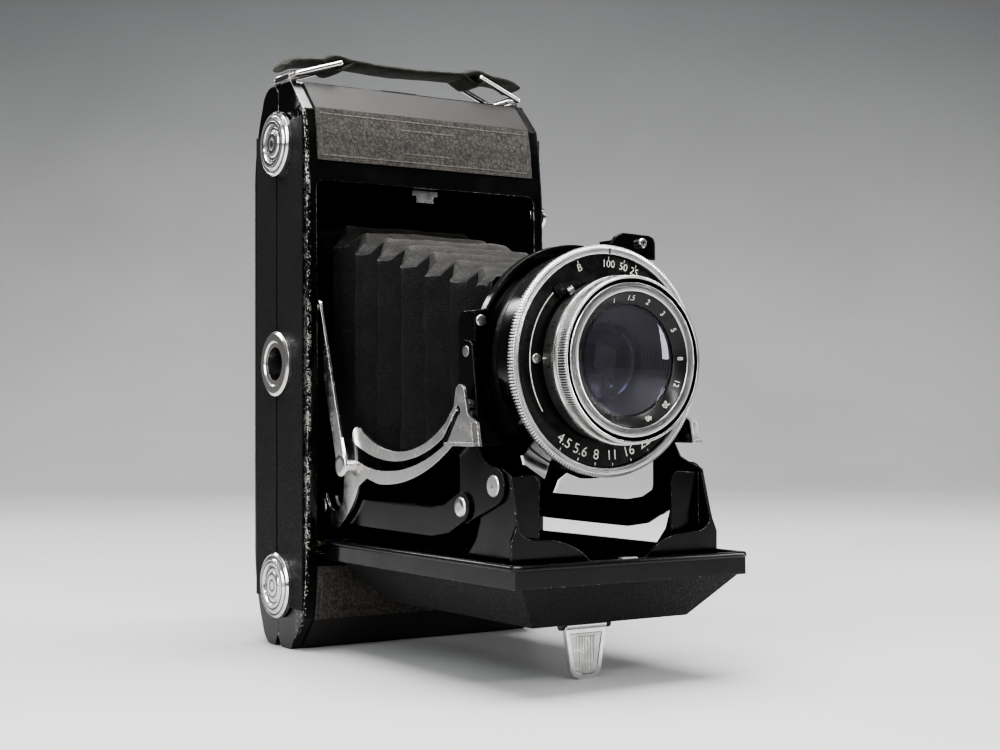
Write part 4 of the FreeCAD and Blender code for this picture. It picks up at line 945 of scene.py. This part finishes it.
def rod(name, path, radius, material, body):
    """A round rod along a level path, closed at both ends."""
    around = 12
    points = []
    for index, place in enumerate(path):
        ahead = path[min(index + 1, len(path) - 1)]
        behind = path[max(index - 1, 0)]
        along = (ahead - behind).normalized()
        out = along.cross(Vector((0, 0, 1)))
        for step in range(around):
            angle = 2 * math.pi * step / around
            rise = Vector((0, 0, radius * math.sin(angle)))
            points.append(place + out * radius * math.cos(angle) + rise)
    faces = grid_faces(len(path), around)
    faces += [tuple(range(around)), tuple(reversed(range(len(points) - around, len(points))))]
    piece = new_piece(name, points, faces, material, body)
    edge_split(piece, 40)


# ---------------------------------------------------------------- strap

def strap():
    """The carrying strap: a crowned band over the bars of its two rings, with a tongue under each bar."""
    low, high = box_of("strap")
    left_high, right_low = box_of("ring_left")[1], box_of("ring_right")[0]
    wire = 0.8
    left_bar = (left_high.x - wire, left_high.z - wire)
    right_bar = (right_low.x + wire, box_of("ring_right")[1].z - wire)
    top = high.z
    over = wire + 0.35 + 1.1
    knots = [(low.x + 2.0, top - 5.2), (low.x + 2.9, top - 3.9), (low.x + 6.5, top - 3.1),
             (left_bar[0] - 4.5, left_bar[1] + 0.9), (left_bar[0], left_bar[1] + over),
             (left_bar[0] + 5.5, left_bar[1] + 1.5), (-4.0, top - 2.4), (10.0, top - 1.9),
             (right_bar[0] - 5.5, right_bar[1] + 0.9), (right_bar[0], right_bar[1] + over),
             (right_bar[0] + 5.0, right_bar[1] + 1.1), (high.x - 5.5, top - 1.8), (high.x - 2.2, top - 3.4)]
    band = Band((low.y + high.y) / 2, (high.y - low.y) / 2)
    band.sweep(smooth_path(knots, 8), 2.3)
    for x, z in (left_bar, right_bar):
        under = wire + 0.35 + 0.6
        tongue = [(x - 5.0, z + 0.8), (x - 2.6, z - 0.6), (x, z - under), (x + 2.6, z - 0.6),
                  (x + 5.0, z + 1.0)]
        band.sweep(smooth_path(tongue, 6), 1.2)
    piece = new_piece("strap_band", band.points, band.faces, STRAP, "strap")
    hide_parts("strap")


class Band:
    """Leather bands along paths in the XZ plane, collected in one mesh."""

    def __init__(self, middle_y, half_width):
        self.middle_y, self.half_width = middle_y, half_width
        self.points, self.faces = [], []

    def sweep(self, path, thick):
        """Adds one band along a path of (x, z) places, rounded at its edges and slightly uneven."""
        around = 24
        start = len(self.points)
        for index, (x, z) in enumerate(path):
            ahead = path[min(index + 1, len(path) - 1)]
            behind = path[max(index - 1, 0)]
            along = Vector((ahead[0] - behind[0], 0, ahead[1] - behind[1])).normalized()
            up = Vector((-along.z, 0, along.x))
            edge = self.half_width * (0.95 + 0.07 * noise.noise(Vector((x * 0.12, 3.1, thick))))
            half = thick / 2 * (1.0 + 0.14 * noise.noise(Vector((x * 0.15, 0, 7.7))))
            for step in range(around):
                angle = 2 * math.pi * step / around
                across = abs(math.cos(angle)) ** 0.55 * math.copysign(1, math.cos(angle))
                rise = abs(math.sin(angle)) ** 0.75 * math.copysign(1, math.sin(angle))
                place = Vector((x, self.middle_y + edge * across, z))
                place += up * half * rise * (1 - 0.35 * abs(across) ** 3)
                ripple = noise.noise(place * 0.2) * 0.2 + noise.noise(place * 0.9) * 0.06
                self.points.append(place + up * ripple)
        count = len(self.points) - start
        faces = grid_faces(len(path), around)
        faces += [tuple(reversed(range(around))), tuple(range(count - around, count))]
        self.faces += [tuple(start + i for i in face) for face in faces]


def smooth_path(knots, per_span):
    """A Catmull-Rom curve through (x, z) knots."""
    padded = [knots[0]] + knots + [knots[-1]]
    path = []
    for i in range(1, len(padded) - 2):
        a, b, c, d = (Vector(padded[i + k]) for k in (-1, 0, 1, 2))
        for step in range(per_span):
            t = step / per_span
            path.append(0.5 * (2 * b + (c - a) * t + (2 * a - 5 * b + 4 * c - d) * t * t
                               + (3 * b - a - 3 * c + d) * t ** 3))
    path.append(Vector(padded[-2]))
    return [(p.x, p.y) for p in path]


# ---------------------------------------------------------------- studio

def lamp(name, place, target, width, height, power, tint=(1, 1, 1)):
    """A soft rectangular light aimed at a target. Places are in metres."""
    data = bpy.data.lights.new(name, "AREA")
    data.shape = "RECTANGLE"
    data.size, data.size_y = width, height
    data.energy = power
    data.color = tint
    holder = bpy.data.objects.new(name, data)
    holder.location = place
    holder.rotation_euler = (Vector(target) - Vector(place)).to_track_quat("-Z", "Y").to_euler()
    bpy.context.scene.collection.objects.link(holder)


def floor():
    """A plain pale floor that curves up into a plain backdrop, as one sheet."""
    near, bend, radius, top, half = -2500, 900, 700, 3000, 3000
    steps = 12
    profile = [(near, 0), (bend, 0)]
    for step in range(1, steps + 1):
        angle = math.radians(90 * step / steps)
        profile.append((bend + radius * math.sin(angle), radius * (1 - math.cos(angle))))
    profile.append((bend + radius, top))
    points = [(x, y, z) for y, z in profile for x in (-half, half)]
    sheet = new_piece("backdrop", points, grid_faces(len(profile), 2, close_columns=False), STAGE_PAPER, None)
    sheet.rotation_euler = (0, 0, math.radians(-32))


def stage_paper():
    """Pale floor paper with painted shade that darkens it gently up the backdrop."""
    look = Look("stage_paper")
    rise = look.node("ShaderNodeSeparateXYZ", {0: look.geometry.outputs["Position"]}).outputs[2]
    cloudy = look.mix(look.span(look.cloud(400, 3), 0.3, 0.7), grey(0.46), grey(0.52))
    # painted shade: the paper's colour darkens with height up the backdrop
    look.set(Base_Color=look.mix(look.span(rise, 0.02, 0.9), cloudy, (0.17, 0.175, 0.18, 1)), Roughness=0.4,
             Specular_IOR_Level=0.35)
    return look.material


STAGE_PAPER = stage_paper()


def sky():
    """Soft surroundings: bright straight above, dark round about and below."""
    world = bpy.data.worlds.new("studio")
    world.use_nodes = True
    nodes, links = world.node_tree.nodes, world.node_tree.links
    place = nodes.new("ShaderNodeTexCoord")
    split = nodes.new("ShaderNodeSeparateXYZ")
    ramp = nodes.new("ShaderNodeValToRGB")
    links.new(place.outputs["Generated"], split.inputs[0])
    level = nodes.new("ShaderNodeMapRange")
    straight_down = -1.0
    level.inputs[1].default_value = straight_down
    links.new(split.outputs[2], level.inputs[0])
    links.new(level.outputs[0], ramp.inputs[0])
    ramp.color_ramp.elements[0].color = grey(0.12)
    ramp.color_ramp.elements[1].color = grey(0.8)
    middle = ramp.color_ramp.elements.new(0.62)
    middle.color = grey(0.13)
    links.new(ramp.outputs[0], nodes["Background"].inputs[0])
    nodes["Background"].inputs[1].default_value = 0.7
    bpy.context.scene.world = world


def studio_lights():
    """Six soft lamps. Their strips are what shines in the plating and along the enamel's edges."""
    target = (0.0, 0.0, 0.08)
    lamp("overhead", (0.0, -0.05, 0.95), target, 0.8, 0.6, 17.0)
    lamp("left_window", (-0.95, -0.35, 0.55), target, 0.25, 0.8, 4.5, (0.95, 0.98, 1.0))
    lamp("right_window", (0.85, -0.55, 0.45), target, 0.2, 0.7, 5.0)
    lamp("front_strip", (-0.25, -1.0, 0.75), target, 0.8, 0.12, 4.0)
    lamp("left_strip", (-0.85, -0.75, 0.6), target, 0.06, 1.0, 3.5)
    lamp("rear_strip", (-0.5, 0.8, 0.7), target, 0.9, 0.1, 3.0)


def camera():
    """The viewpoint: low, ahead of the camera and to its side, with a short telephoto view."""
    data = bpy.data.cameras.new("viewpoint")
    data.lens = 57.9
    data.sensor_width = 36
    holder = bpy.data.objects.new("viewpoint", data)
    turn, tip, roll = math.radians(-32.77), math.radians(-1.37), math.radians(-0.2)
    back = Vector((math.sin(turn) * math.cos(tip), -math.cos(turn) * math.cos(tip), math.sin(tip)))
    right = Vector((math.cos(turn), math.sin(turn), 0))
    up = back.cross(right)
    aim = columns(right, up, back, Vector((-0.2326, -0.41175, 0.0653)))
    holder.matrix_world = aim @ Matrix.Rotation(roll, 4, "Z")
    bpy.context.scene.collection.objects.link(holder)
    bpy.context.scene.camera = holder


# ---------------------------------------------------------------- build

for shared_material, dressed_nodes in DRESSED:
    for node_name in dressed_nodes.split():
        dress(node_name, shared_material)

speed_ring()
focus_ring()
baffle_rings()
face_marks()
distance_scale()
cone_marks()
skin = bellows()
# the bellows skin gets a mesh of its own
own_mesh(skin)
bed_lip()
strap()
floor()
sky()
studio_lights()
camera()
bpy.context.scene.view_settings.look = "AgX - High Contrast"
